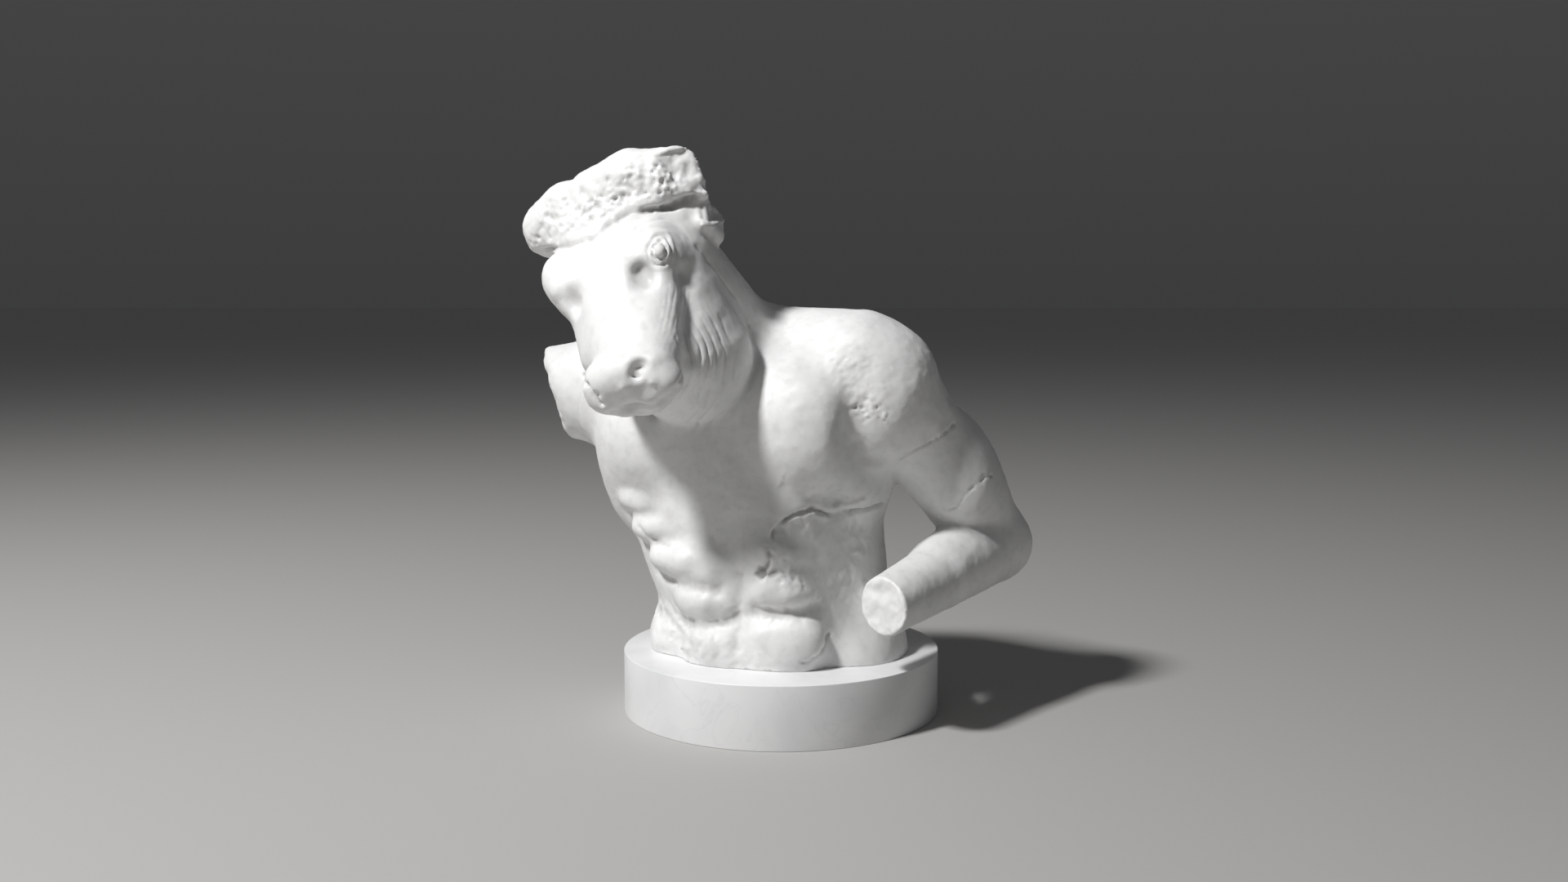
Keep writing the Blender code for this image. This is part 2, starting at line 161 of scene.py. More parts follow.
class Ball:
    """An ellipsoid, with its radii along the rows of a frame."""

    def __init__(self, centre: Point | np.ndarray, radii: Point, frame: ROWS | None = None) -> None:
        """Keeps the centre, radii and frame."""
        self.centre = np.array(centre, float)
        self.radii = np.array(radii, float) * np.ones(3)
        self.frame = np.eye(3) if frame is None else frame
        self.reach = self.radii.max()

    def distance(self, points: np.ndarray) -> np.ndarray:
        """Distance of each point."""
        local = (points - self.centre) @ self.frame.T
        share = np.linalg.norm(local / self.radii, axis=1)
        slope = np.linalg.norm(local / self.radii**2, axis=1)
        return share * (share - 1.0) / np.maximum(slope, TINY)

    def shape(self, sphere: np.ndarray) -> np.ndarray:
        """A unit sphere's points pressed into this form."""
        return self.centre + (sphere * self.radii) @ self.frame


class Limb:
    """A tapering round limb between two balls; it can be pressed flatter across one direction."""

    def __init__(
        self,
        start: Point | np.ndarray,
        end: Point | np.ndarray,
        radii: Spot,
        across: np.ndarray | None = None,
        press: float = 1.0,
    ) -> None:
        """Keeps the ends, and works out what the distance needs.

        Args:
            start: the first ball's centre.
            end: the second ball's centre.
            radii: their radii.
            across: the direction it is pressed across, if it is.
            press: its thickness that way, as a share of its breadth.
        """
        self.start, self.end = np.array(start, float), np.array(end, float)
        self.radii = radii
        self.axis = self.end - self.start
        self.length = np.linalg.norm(self.axis)
        self.centre = (self.start + self.end) / 2
        self.reach = self.length / 2 + max(radii)
        self.press = press
        self.across = None
        if across is not None:
            run = self.axis / self.length
            across = across - (across @ run) * run
            self.across = across / np.linalg.norm(across)

    def distance(self, points: np.ndarray) -> np.ndarray:
        """Distance of each point.

        Args:
            points: one row each.

        Returns:
            One distance each, negative inside.
        """
        offset = points - self.start
        share = np.clip(offset @ self.axis / self.length**2, 0.0, 1.0)
        radius = self.radii[0] + share * (self.radii[1] - self.radii[0])
        offset = offset - share[:, None] * self.axis
        if self.across is None:
            return np.linalg.norm(offset, axis=1) - radius
        side = offset @ self.across
        offset = offset + np.outer(side * (1 / self.press - 1), self.across)
        return (np.linalg.norm(offset, axis=1) - radius) * (1 + self.press) / 2

    def shape(self, sphere: np.ndarray) -> np.ndarray:
        """Presses a unit sphere into this form.

        Args:
            sphere: its points.

        Returns:
            The points where they end.
        """
        ahead = sphere @ self.axis > 0
        radius = np.where(ahead, self.radii[1], self.radii[0])[:, None]
        offset = sphere * radius
        if self.across is not None:
            offset = offset - np.outer(offset @ self.across * (1 - self.press), self.across)
        return np.where(ahead[:, None], self.end, self.start) + offset


class Slab:
    """A block with rounded edges, with its half sizes along the rows of a frame."""

    # A unit sphere stretched by this and clipped to a unit cube fills the cube's faces.
    STRETCH = 1.9

    def __init__(self, centre: np.ndarray, half: Point, rounding: float, frame: ROWS) -> None:
        """Keeps the centre, half sizes, rounding and frame."""
        self.centre = np.array(centre, float)
        self.half = np.array(half, float) - rounding
        self.rounding = rounding
        self.frame = frame
        self.reach = np.linalg.norm(self.half) + rounding

    def distance(self, points: np.ndarray) -> np.ndarray:
        """Distance of each point."""
        local = np.abs((points - self.centre) @ self.frame.T) - self.half
        outside = np.linalg.norm(np.maximum(local, 0.0), axis=1)
        return outside + np.minimum(local.max(axis=1), 0.0) - self.rounding

    def shape(self, sphere: np.ndarray) -> np.ndarray:
        """A unit sphere's points pressed into this form."""
        cube = np.clip(sphere * self.STRETCH, -1, 1) * (self.half + self.rounding)
        return self.centre + cube @ self.frame


class Cut:
    """A flat break: all that lies past a plane, within a reach, is gone."""

    # The reach is measured from a point that lies this share of it past the plane.
    PAST = 0.8

    def __init__(self, point: Point | np.ndarray, normal: Point | np.ndarray, reach: float) -> None:
        """Keeps the plane and its reach."""
        self.point = np.array(point, float)
        self.normal = np.array(normal, float) / np.linalg.norm(normal)
        self.reach = reach
        self.centre = self.point + self.normal * reach * self.PAST

    def distance(self, points: np.ndarray) -> np.ndarray:
        """Distance of each point."""
        return (self.point - points) @ self.normal


class Core:
    """The body from the bed to the collar: oval sections that shift, swell and turn with height."""

    # How softly the two ends round off.
    END_BLEND = 40.0
    # The rough form lies inside the section, so that an arm that stands close to it stays free of it,
    # and its rings narrow only this near to its ends.
    INSET = 0.84
    POLE = 0.35

    def __init__(self, sections: tuple[tuple[float, ...], ...], bluntness: float) -> None:
        """Keeps the sections as curves over height.

        Args:
            sections: rows of height, centre X and Y, half-breadth, half-depth and turn.
            bluntness: 2 for an ellipse, more for a squarer oval.
        """
        rows = np.array(sections, float)
        self.low, self.high = rows[0, 0], rows[-1, 0]
        self.heights = np.arange(self.low, self.high + 1)
        self.columns = [smooth_curve(rows[:, 0], rows[:, i], self.heights) for i in range(1, 6)]
        self.centre = np.array([0.0, 0.0, (self.low + self.high) / 2])
        self.reach = FAR
        self.bluntness = bluntness

    def section(self, heights: np.ndarray) -> tuple[np.ndarray, ...]:
        """Centre X and Y, half-breadth, half-depth and turn in radians at the given heights."""
        found = [np.interp(heights, self.heights, column) for column in self.columns]
        return *found[:-1], np.radians(found[-1])

    def distance(self, points: np.ndarray) -> np.ndarray:
        """Distance of each point.

        Args:
            points: one row each.

        Returns:
            One distance each, negative inside.
        """
        x, y, breadth, depth, turn = self.section(points[:, 2])
        right, away = points[:, 0] - x, points[:, 1] - y
        left = right * np.cos(turn) - away * np.sin(turn)
        front = -right * np.sin(turn) - away * np.cos(turn)
        power = self.bluntness
        across, through = np.abs(left) / breadth, np.abs(front) / depth
        share = np.maximum((across**power + through**power) ** (1 / power), 1e-6)
        steep = np.hypot(across ** (power - 1) / breadth, through ** (power - 1) / depth)
        slope = share ** (1 - power) * steep
        side = (share - 1) / np.maximum(slope, 1 / breadth)
        ends = np.maximum(points[:, 2] - self.high, self.low - points[:, 2])
        return -smooth_min(-side, -ends, self.END_BLEND)

    def shape(self, sphere: np.ndarray) -> np.ndarray:
        """Presses a unit sphere into this form.

        Args:
            sphere: its points.

        Returns:
            The points where they end.
        """
        height = self.low + (self.high - self.low) * (sphere[:, 2] + 1) / 2
        x, y, breadth, depth, turn = self.section(height)
        round_it = np.maximum(np.hypot(sphere[:, 0], sphere[:, 1]), self.POLE)
        ring = self.INSET * sphere[:, :2] / round_it[:, None]
        left, front = ring[:, 0] * breadth, -ring[:, 1] * depth
        right = left * np.cos(turn) - front * np.sin(turn)
        away = -left * np.sin(turn) - front * np.cos(turn)
        return np.stack([x + right, y + away, height], axis=1)

    def frame(self, height: float) -> tuple[np.ndarray, ROWS, float, float]:
        """Origin, rows, half-breadth and half-depth of the body at a height."""
        x, y, breadth, depth, turn = (float(v[0]) for v in self.section(np.array([float(height)])))
        return np.array([x, y, height]), frame_of(math.degrees(turn)), breadth, depth

    def place(self, left: float, front: float, height: float) -> np.ndarray:
        """A point that far to the body's left and front of its axis, at that height."""
        origin, rows, _, _ = self.frame(height)
        return origin + left * rows[0] + front * rows[1]


Form = Ball | Limb | Slab | Cut | Core


@dataclass
class Stroke:
    """One step of modelling: a form laid on (or taken off), blended over a width."""

    form: Form
    blend: float
    takes_off: bool = False


@dataclass
class Clay:
    """The figure as strokes in order, and the distance from its surface that they give."""

    strokes: list[Stroke] = field(default_factory=list)
    # How far past its reach and blend a stroke still counts, which is also the farthest one move goes.
    margin: float = 12.0
    # How far a point moves to its neighbours' mean, and the least squared slope that is believed.
    spread: float = 0.5
    flattest: float = 0.25

    def lay(self, form: Form, blend: float = 20.0) -> Form:
        """Lays a form on, and returns it."""
        self.strokes.append(Stroke(form, blend))
        return form

    def take(self, form: Form, blend: float = 8.0) -> Form:
        """Takes a form off, and returns it."""
        self.strokes.append(Stroke(form, blend, takes_off=True))
        return form

    def distance(self, points: np.ndarray, probes: np.ndarray) -> np.ndarray:
        """Distance from the modelled surface, negative inside the stone.

        Args:
            points: where it is asked, one row each.
            probes: offsets round each point, one row each.

        Returns:
            One row for each probe, one column for each point.
        """
        total = np.full((len(probes), len(points)), FAR)
        for stroke in self.strokes:
            form, blend = stroke.form, stroke.blend
            reach = form.reach + blend + self.margin
            near = np.flatnonzero(((points - form.centre) ** 2).sum(axis=1) < reach * reach)
            if not len(near):
                continue
            around = (points[near][None] + probes[:, None]).reshape(-1, 3)
            found = form.distance(around).reshape(len(probes), -1)
            if stroke.takes_off:
                total[:, near] = -smooth_min(-total[:, near], found, blend)
            else:
                total[:, near] = smooth_min(total[:, near], found, blend)
        return total

    def slope(self, points: np.ndarray) -> tuple[np.ndarray, np.ndarray]:
        """Distance and its gradient, from four probes round each point."""
        corners = np.array([(1, -1, -1), (-1, -1, 1), (-1, 1, -1), (1, 1, 1)], float)
        found = self.distance(points, PROBE * corners)
        return found.mean(axis=0), found.T @ corners / (4 * PROBE)

    def settle(self, points: np.ndarray, edges: np.ndarray, rounds: int, relax: int) -> np.ndarray:
        """Points moved onto the surface, kept evenly spread for the first rounds.

        Args:
            points: the mesh's points.
            edges: pairs of point numbers.
            rounds: how many times they move.
            relax: in how many of those rounds they also spread out.

        Returns:
            The points where they end.
        """
        for step in range(rounds):
            if step < relax:
                points = points + self.spread * (neighbour_mean(points, edges) - points)
            found, gradient = self.slope(points)
            steep = np.maximum((gradient**2).sum(axis=1), self.flattest)
            move = np.clip(found / steep, -self.margin, self.margin)
            points = points - move[:, None] * gradient
        return points


def neighbour_mean(points: np.ndarray, edges: np.ndarray) -> np.ndarray:
    """The mean of each point's neighbours.

    Args:
        points: one row each, of any number of columns.
        edges: pairs of point numbers.

    Returns:
        One row of means for each point.
    """
    count = np.maximum(np.bincount(edges.ravel(), minlength=len(points)), 1)
    total = np.empty_like(points)
    for axis in range(points.shape[1]):
        values = points[edges[:, ::-1], axis].ravel()
        total[:, axis] = np.bincount(edges.ravel(), weights=values, minlength=len(points)) / count
    return total


# The figure's parts: each lays its own forms.


@dataclass(frozen=True)
class Swell:
    """A muscle or hollow: a ball placed by its left, its front and its height."""

    left: float
    front: float
    height: float
    radii: Point
    blend: float
    takes_off: bool = False

    @property
    def place(self) -> Point:
        """Its centre, from the body's axis."""
        return self.left, self.front, self.height

    def model(self, clay: Clay, core: Core, rows: ROWS) -> None:
        """Lays it on the body, or takes it off."""
        ball = Ball(core.place(*self.place), self.radii, rows)
        clay.strokes.append(Stroke(ball, self.blend, self.takes_off))


@dataclass(frozen=True)
class Torso:
    """The body from the bed up to the collar."""

    # Height, then the section's centre in X and Y, its half-breadth, its half-depth and its turn.
    sections: tuple[tuple[float, ...], ...] = (
        (-60, 2, -6, 182, 146, 22),
        (0, 2, -6, 180, 146, 22),
        (60, -7, -4, 172, 140, 22),
        (120, -19, -2, 184, 138, 21),
        (180, -30, 0, 192, 136, 20),
        (240, -43, 4, 203, 136, 19),
        (300, -57, 12, 212, 138, 18),
        (360, -54, 16, 184, 134, 18),
        (420, -54, 22, 144, 124, 18),
        (470, -56, 30, 90, 90, 18),
    )
    bluntness: float = 2.1
    # The left flank's flat: a point on it, the way it faces and how far it reaches.
    flank: tuple[Point, Point, float] = ((95, -91, 120), (0.72, -0.69, 0.08), 200)
    flank_blend: float = 40
    # The height at which the body's turn is taken for all its muscles.
    breast_height: float = 300
    # Left breast with the ribs behind it, the hollow of the armpit, then the right breast and its ribs.
    chest: tuple[Swell, ...] = (
        Swell(100, 62, 326, (108, 84, 108), 14),
        Swell(172, -22, 262, (40, 78, 66), 26),
        Swell(218, 94, 322, (28, 36, 66), 40, takes_off=True),
        Swell(-92, 66, 316, (100, 82, 92), 24),
        Swell(-160, 0, 280, (52, 88, 110), 40),
        Swell(-124, 80, 222, (50, 34, 26), 12),
        Swell(-112, 88, 184, (50, 34, 26), 12),
        Swell(-84, 104, 144, (50, 34, 26), 12),
    )
    # Each swell of the belly: its height, half-breadth and reach up and down.
    belly: tuple[Point, ...] = ((152, 48, 32), (103, 50, 30), (34, 52, 40))
    # Each side of it: how far left it lies, how deep its middle is sunk, its rise and its thickness.
    belly_sides: tuple[tuple[float, float, float, float], ...] = ((58, 28, 4, 30), (-46, 22, -14, 32))
    belly_blend: float = 20
    # The hips, then one shoulder blade and one column of the back, mirrored on the other side.
    hips: tuple[Swell, ...] = (
        Swell(-142, 20, 18, (44, 88, 42), 40),
        Swell(128, -4, -6, (54, 74, 84), 50),
    )
    blade: Swell = Swell(95, -95, 330, (75, 45, 90), 30)
    column: tuple[Point, Point, Spot] = ((38, -100, 0), (38, -100, 300), (38, 34))
    column_blend: float = 16

    def model(self, clay: Clay) -> Core:
        """Lays the trunk and its muscles.

        Args:
            clay: what they are laid on.

        Returns:
            The trunk, which the rest is placed on.
        """
        core = Core(self.sections, self.bluntness)
        clay.lay(core)
        clay.take(Cut(*self.flank), self.flank_blend)
        rows = core.frame(self.breast_height)[1]
        for swell in (*self.chest, *self.belly_swells(core), *self.hips):
            swell.model(clay, core, rows)
        for side in Side:
            mirror = (side.value, 1, 1)
            blade = Ball(core.place(*np.multiply(self.blade.place, mirror)), self.blade.radii, rows)
            clay.lay(blade, self.blade.blend)
            low, high = (core.place(*np.multiply(end, mirror)) for end in self.column[:2])
            clay.lay(Limb(low, high, self.column[2]), self.column_blend)
        return core

    def belly_swells(self, core: Core) -> list[Swell]:
        """The belly's swells, both sides of each from the top down.

        Args:
            core: the trunk they lie on.

        Returns:
            The swells, in the order they are laid on.
        """
        swells = []
        for height, breadth, reach in self.belly:
            depth = core.frame(height)[3]
            for left, sunk, rise, thickness in self.belly_sides:
                radii = (breadth, thickness, reach)
                swells.append(Swell(left, depth - sunk, height + rise, radii, self.belly_blend))
        return swells


@dataclass(frozen=True)
class Shoulders:
    """The yoke between the shoulders and the two shoulder caps."""

    left_joint: Point = (208, 8, 388)
    right_joint: Point = (-200, 0, 376)
    # Each half of the yoke, left then right: its start at the collar, its end off the joint, radii, blend.
    yoke: tuple[tuple[Point, Point, Spot, float], ...] = (
        ((50, -10, 431), (-32, 0, 30), (66, 76), 30),
        ((-50, -10, 428), (0, 0, 0), (70, 72), 40),
    )
    # Each cap, left then right: its place off the joint, radii, turn and tip, blend.
    caps: tuple[tuple[Point, Point, Spot, float], ...] = (
        ((4, 0, -22), (76, 84, 104), (18, -14), 24),
        ((0, 0, 0), (78, 78, 80), (18, 0), 30),
    )

    def model(self, clay: Clay, core: Core) -> tuple[np.ndarray, np.ndarray]:
        """Lays the shoulders.

        Args:
            clay: what they are laid on.
            core: the trunk they are placed by.

        Returns:
            The left joint and the right one.
        """
        joints = core.place(*self.left_joint), core.place(*self.right_joint)
        for joint, (start, off, radii, blend) in zip(joints, self.yoke):
            clay.lay(Limb(core.place(*start), joint + off, radii), blend)
        for joint, (off, radii, angles, blend) in zip(joints, self.caps):
            clay.lay(Ball(joint + off, radii, frame_of(*angles)), blend)
        return joints


@dataclass(frozen=True)
class LeftArm:
    """The bent left arm, broken off below the elbow."""

    elbow: Point = (317, 66, 136)
    wrist: Point = (138, -190, 98)
    # The upper arm: its ends off the joint and off the elbow, its radii and its blend.
    upper: tuple[Point, Point, Spot, float] = ((34, 18, -44), (6, 0, 10), (70, 54), 14)
    # Its muscles before and behind: each one's place off its middle, radii and blend, and how both turn.
    muscles: tuple[tuple[Point, Point, float], ...] = (
        ((18, -20, 0), (52, 46, 84), 26),
        ((30, 26, 6), (54, 48, 98), 36),
    )
    muscle_angles: Spot = (30, 28)
    # The forearm's radii, its muscle from the elbow to halfway (offsets of its ends, and radii), and the
    # blend of both.
    forearm: Spot = (55, 40)
    forearm_muscle: tuple[Point, Point, Spot] = ((-14, -20, 16), (0, 0, 6), (52, 46))
    forearm_blend: float = 16
    # The elbow's point: its place off the elbow, its radii and its blend.
    point: tuple[Point, Point, float] = ((10, 16, 2), (40, 38, 38), 18)
    # The break: how far it lies past the wrist, how it slants, its reach and its blend.
    broken: tuple[float, Point, float, float] = (2, (-0.15, 0.1, 0.1), 60, 3)

    def model(self, clay: Clay, joint: np.ndarray) -> Cut:
        """Lays the arm.

        Args:
            clay: what it is laid on.
            joint: the left shoulder's.

        Returns:
            Its broken face.
        """
        elbow, wrist = np.array(self.elbow, float), np.array(self.wrist, float)
        off_joint, off_elbow, radii, blend = self.upper
        clay.lay(Limb(joint + off_joint, elbow + off_elbow, radii), blend)
        for off, radii, blend in self.muscles:
            clay.lay(Ball((joint + elbow) / 2 + off, radii, frame_of(*self.muscle_angles)), blend)
        clay.lay(Limb(elbow, wrist, self.forearm), self.forearm_blend)
        start, end, radii = self.forearm_muscle
        clay.lay(Limb(elbow + start, elbow + (wrist - elbow) * 0.5 + end, radii), self.forearm_blend)
        off, radii, blend = self.point
        clay.lay(Ball(elbow + off, radii), blend)
        run = (wrist - elbow) / np.linalg.norm(wrist - elbow)
        past, slant, reach, blend = self.broken
        return clay.take(Cut(wrist + run * past, run + slant, reach), blend)


@dataclass(frozen=True)
class RightStump:
    """The stub of the lost right arm."""

    tip: Point = (-372, 118, 362)
    radii: Spot = (76, 70)
    blend: float = 24
    # The break: a point on it, the way it faces and its reach, then its blend.
    broken: tuple[Point, Point, float] = ((-345, 115, 370), (-0.94, -0.10, -0.28), 130)
    broken_blend: float = 14

    def model(self, clay: Clay, joint: np.ndarray) -> Cut:
        """Lays the stub, and returns its broken face."""
        clay.lay(Limb(joint, self.tip, self.radii), self.blend)
        return clay.take(Cut(*self.broken), self.broken_blend)


@dataclass(frozen=True)
class Knob:
    """A ball of the head, placed by its left, down the face and out of it."""

    left: float
    down: float
    out: float
    radii: Point
    blend: float
    takes_off: bool = False


@dataclass(frozen=True)
class Roll:
    """A limb of the head between two points, pressed flatter out of the face."""

    start: Point
    end: Point
    radii: Spot
    blend: float
    press: float = 1.0


@dataclass(frozen=True)
class Block:
    """A rounded block of the head, swung across the face and leaned out of it, in degrees."""

    place: Point
    half: Point
    rounding: float
    blend: float
    swing: float = 0.0
    lean: float = 0.0

    def rows(self, head: ROWS) -> ROWS:
        """The block's own rows, from the head's."""
        swing, lean = math.radians(self.swing), math.radians(self.lean)
        sine, cosine = math.sin(swing), math.cos(swing)
        swung = np.array([[cosine, sine, 0.0], [-sine, cosine, 0.0], [0.0, 0.0, 1.0]]) @ head
        sine, cosine = math.sin(lean), math.cos(lean)
        return np.array([[cosine, 0.0, sine], [0.0, 1.0, 0.0], [-sine, 0.0, cosine]]) @ swung


@dataclass(frozen=True)
class Head:
    """The bull's head in its own frame: left, down the nose, and out of the face."""

    origin: Point = (-235, -177, 553)
    turn: float = 17
    tip: float = 18
    nod: float = 59
    # Skull and poll, then the nose bridge, the muzzle's pad and the jaw.
    skull: tuple[Knob | Roll, ...] = (
        Knob(0, -44, -84, (106, 74, 64), 20),
        Knob(-4, -18, -36, (84, 84, 38), 24),
        Knob(-82, -34, -44, (30, 40, 36), 16),
        Knob(78, -100, -76, (40, 40, 40), 20),
        Knob(-8, -112, -88, (96, 54, 52), 28),
        Roll((6, 26, -56), (16, 136, -50), (70, 58), 14, press=0.80),
        Knob(12, 164, -40, (64, 34, 46), 12),
        Roll((6, 60, -96), (14, 152, -76), (60, 38), 20),
    )
    # Flat cheeks and jaw, the left one square to the face.
    cheeks: tuple[Block, Block] = (
        Block((59, 58, -84), (36, 92, 62), 32, 18, swing=3, lean=18),
        Block((-35, 50, -92), (42, 78, 60), 34, 20, swing=-9),
    )
    # One side's boss that the eye sits on, the eye, and the hollow in front of it.
    eye: tuple[Knob, ...] = (
        Knob(60, -14, -48, (38, 46, 40), 14),
        Knob(75, -3, -25, (18, 20, 20), 4),
        Knob(56, 33, -4, (15, 21, 24), 12, takes_off=True),
    )
    # The nostrils' curled wings, then their holes.
    nostrils: tuple[Knob | Roll, ...] = (
        Roll((52, 164, -30), (60, 180, -40), (22, 20), 12),
        Roll((60, 180, -40), (36, 188, -50), (19, 20), 12),
        Roll((-22, 154, -30), (-26, 172, -42), (24, 22), 12),
        Roll((-26, 172, -42), (-8, 182, -52), (20, 20), 12),
        Knob(-46, 158, -6, (7, 14, 16), 4, takes_off=True),
    )
    # The ears, stubs, the right one smaller.
    ears: tuple[Knob | Roll | Block, ...] = (
        Block((106, -84, -90), (26, 27, 30), 13, 10),
        Roll((-84, -84, -96), (-100, -92, -100), (26, 24), 10),
    )
    # Forelock in two lobes between the horn stubs, hair down to the brow, and the left horn's stub.
    forelock: tuple[Knob | Roll | Block, ...] = (
        Roll((-99, -131, -46), (-66, -139, -40), (41, 45), 12),
        Roll((-16, -136, -36), (36, -142, -34), (48, 47), 10),
        Roll((36, -142, -34), (84, -136, -36), (46, 40), 14),
        Knob(-6, -100, -36, (98, 44, 38), 12),
        Block((108, -130, -44), (38, 32, 34), 10, 12),
    )
    # The neck from the body to the head, and the throat from the head to the body: ends, radii, blend.
    neck: tuple[Point, Point, Spot, float] = ((-12, -4, 405), (31, -44, -106), (90, 86), 30)
    throat: tuple[Point, Point, Spot, float] = ((30, 20, -114), (-128, -104, 424), (84, 90), 12)
    # The horn stub's two breaks, its top as the figure faces and its end as the head does: a point on
    # each, the way it faces, its reach and its blend.
    horn_top: tuple[Point, Point, float, float] = ((112, -132, -20), (0.34, -0.87, 0.34), 60, 5)
    horn_end: tuple[Point, Point, float, float] = ((141, -130, -22), (0.90, -0.25, -0.32), 72, 4)

    @property
    def rows(self) -> ROWS:
        """The head's rows: left, down, out."""
        return frame_of(self.turn, self.tip, self.nod)

    def at(self, left: float, down: float, out: float) -> np.ndarray:
        """A point of the head in the figure's frame."""
        return np.array(self.origin, float) + np.array([left, down, out], float) @ self.rows

    def work(self, clay: Clay, steps: tuple[Knob | Roll | Block, ...], mirror: int = 1) -> None:
        """Lays each step on, or takes it off.

        Args:
            clay: what they are laid on.
            steps: what is laid, in order.
            mirror: 1 on the side that a knob names, -1 on the other.
        """
        for step in steps:
            takes_off = False
            if isinstance(step, Block):
                form = Slab(self.at(*step.place), step.half, step.rounding, step.rows(self.rows))
            elif isinstance(step, Roll):
                ends = self.at(*step.start), self.at(*step.end)
                form = Limb(*ends, step.radii, self.rows[2], step.press)
            else:
                form = Ball(self.at(mirror * step.left, step.down, step.out), step.radii, self.rows)
                takes_off = step.takes_off
            clay.strokes.append(Stroke(form, step.blend, takes_off))

    def model_neck(self, clay: Clay, core: Core) -> None:
        """Lays the thick neck and the throat that bulges under the jaw."""
        start, end, radii, blend = self.neck
        clay.lay(Limb(core.place(*start), self.at(*end), radii), blend)
        start, end, radii, blend = self.throat
        clay.lay(Limb(self.at(*start), end, radii), blend)

    def model(self, clay: Clay) -> tuple[Cut, Cut]:
        """Lays the skull, face, eyes, muzzle, ears and forelock.

        Args:
            clay: what they are laid on.

        Returns:
            The horn stub's two broken faces.
        """
        self.work(clay, (*self.skull, *self.cheeks))
        for side in Side:
            self.work(clay, self.eye, side.value)
        self.work(clay, (*self.nostrils, *self.ears, *self.forelock))
        place, normal, reach, blend = self.horn_top
        top = clay.take(Cut(self.at(*place), normal, reach), blend)
        place, normal, reach, blend = self.horn_end
        end = clay.take(Cut(self.at(*place), normal @ self.rows, reach), blend)
        return top, end


# Relief: finer carving and damage, worked into the settled mesh along its own normals.


class Pattern(IntEnum):
    """Seeds: each use of noise has a pattern of its own."""

    PATCH_EDGE = 3
    CRACK_DEPTH = 5
    ROUGHNESS = 11
    PITS = 23
    FOLD_WANDER = 31
    FOLD_STRENGTH = 37
    EYE = 41
    WEATHER = 51
    BREAK = 61


# Large primes that scatter the cells of a lattice, and the largest number they are kept under.
CELL_PRIMES = (73856093, 19349663, 83492791)
SEED_PRIME = 26544357
MIXERS = ((13, 1274126177), (15, 668265263))
LARGEST = 0x7FFFFFFF


def lattice(cell: np.ndarray, seed: int) -> np.ndarray:
    """A fixed random number for each whole-numbered cell.

    Args:
        cell: three whole numbers a row.
        seed: picks another set of numbers.

    Returns:
        One number from 0 to 1 for each row.
    """
    cell = cell.astype(np.int64)
    mixed = np.full(len(cell), seed * SEED_PRIME)
    for axis, prime in enumerate(CELL_PRIMES):
        mixed ^= cell[:, axis] * prime
    for shift, factor in MIXERS:
        mixed = (mixed ^ (mixed >> shift)) * factor & LARGEST
    return mixed / float(LARGEST)


def noise(points: np.ndarray, size: float, seed: int = 1, octaves: int = 3) -> np.ndarray:
    """Smooth noise from about -1 to 1.

    Args:
        points: where it is read.
        size: the width of its largest blotches.
        seed: picks another pattern.
        octaves: how many times a finer, weaker layer is added.

    Returns:
        One value for each point.
    """
    total, strength = np.zeros(len(points)), 1.0
    for octave in range(octaves):
        scaled = points / size * 2**octave + 17.3 * octave
        cell = np.floor(scaled)
        part = scaled - cell
        part = part * part * (3 - 2 * part)
        value = np.zeros(len(points))
        for corner in np.ndindex(2, 2, 2):
            weight = np.prod(np.where(corner, part, 1 - part), axis=1)
            value += weight * lattice(cell + corner, seed + octave)
        total += strength * (2 * value - 1)
        strength *= 0.5
    return total


def cells(points: np.ndarray, size: float, seed: int) -> tuple[np.ndarray, np.ndarray]:
    """How far points lie from scattered dots.

    Args:
        points: where it is read.
        size: the dots' spacing.
        seed: picks another scatter.

    Returns:
        Each point's distance to the nearest dot, as a share of size, and a random number for that dot.
    """
    scaled = points / size
    base = np.floor(scaled)
    nearest, owner = np.full(len(points), FAR), np.zeros(len(points))
    for step in np.ndindex(3, 3, 3):
        cell = base + np.array(step) - 1
        dot = cell + np.stack([lattice(cell, seed + axis) for axis in range(3)], axis=1)
        gap = np.linalg.norm(scaled - dot, axis=1)
        closer = gap < nearest
        nearest = np.where(closer, gap, nearest)
        owner = np.where(closer, lattice(cell, seed + 7), owner)
    return nearest, owner


@dataclass(frozen=True)
class Standpoint:
    """Where the statue is seen from, level but for a slight look down, in parts and picture points."""

    place: Point = (4.34, -2106.7, 507.9)
    look_down: float = 5.576
    lens: float = 33.39
    sensor: float = 36.0
    picture: tuple[int, int] = (1920, 1080)

    def axes(self) -> tuple[np.ndarray, np.ndarray, np.ndarray]:
        """Unit directions to the right, up and ahead."""
        angle = math.radians(self.look_down)
        ahead = np.array([0.0, math.cos(angle), -math.sin(angle)])
        return np.array([1.0, 0.0, 0.0]), np.array([0.0, math.sin(angle), math.cos(angle)]), ahead

    @property
    def reach(self) -> float:
        """The lens's length in picture points."""
        return self.lens / self.sensor * self.picture[0]

    def spots(self, points: np.ndarray) -> np.ndarray:
        """Where points show in the picture.

        Args:
            points: one row each.

        Returns:
            One spot each, right and down from the picture's corner.
        """
        right, up, ahead = self.axes()
        offset = points - np.array(self.place)
        depth = offset @ ahead
        across = self.picture[0] / 2 + offset @ right / depth * self.reach
        down = self.picture[1] / 2 - offset @ up / depth * self.reach
        return np.stack([across, down], axis=1)

    def ray(self, spot: Spot) -> np.ndarray:
        """The unit direction through a spot of the picture."""
        right, up, ahead = self.axes()
        across = (spot[0] - self.picture[0] / 2) / self.reach
        down = (spot[1] - self.picture[1] / 2) / self.reach
        direction = ahead + across * right - down * up
        return direction / np.linalg.norm(direction)


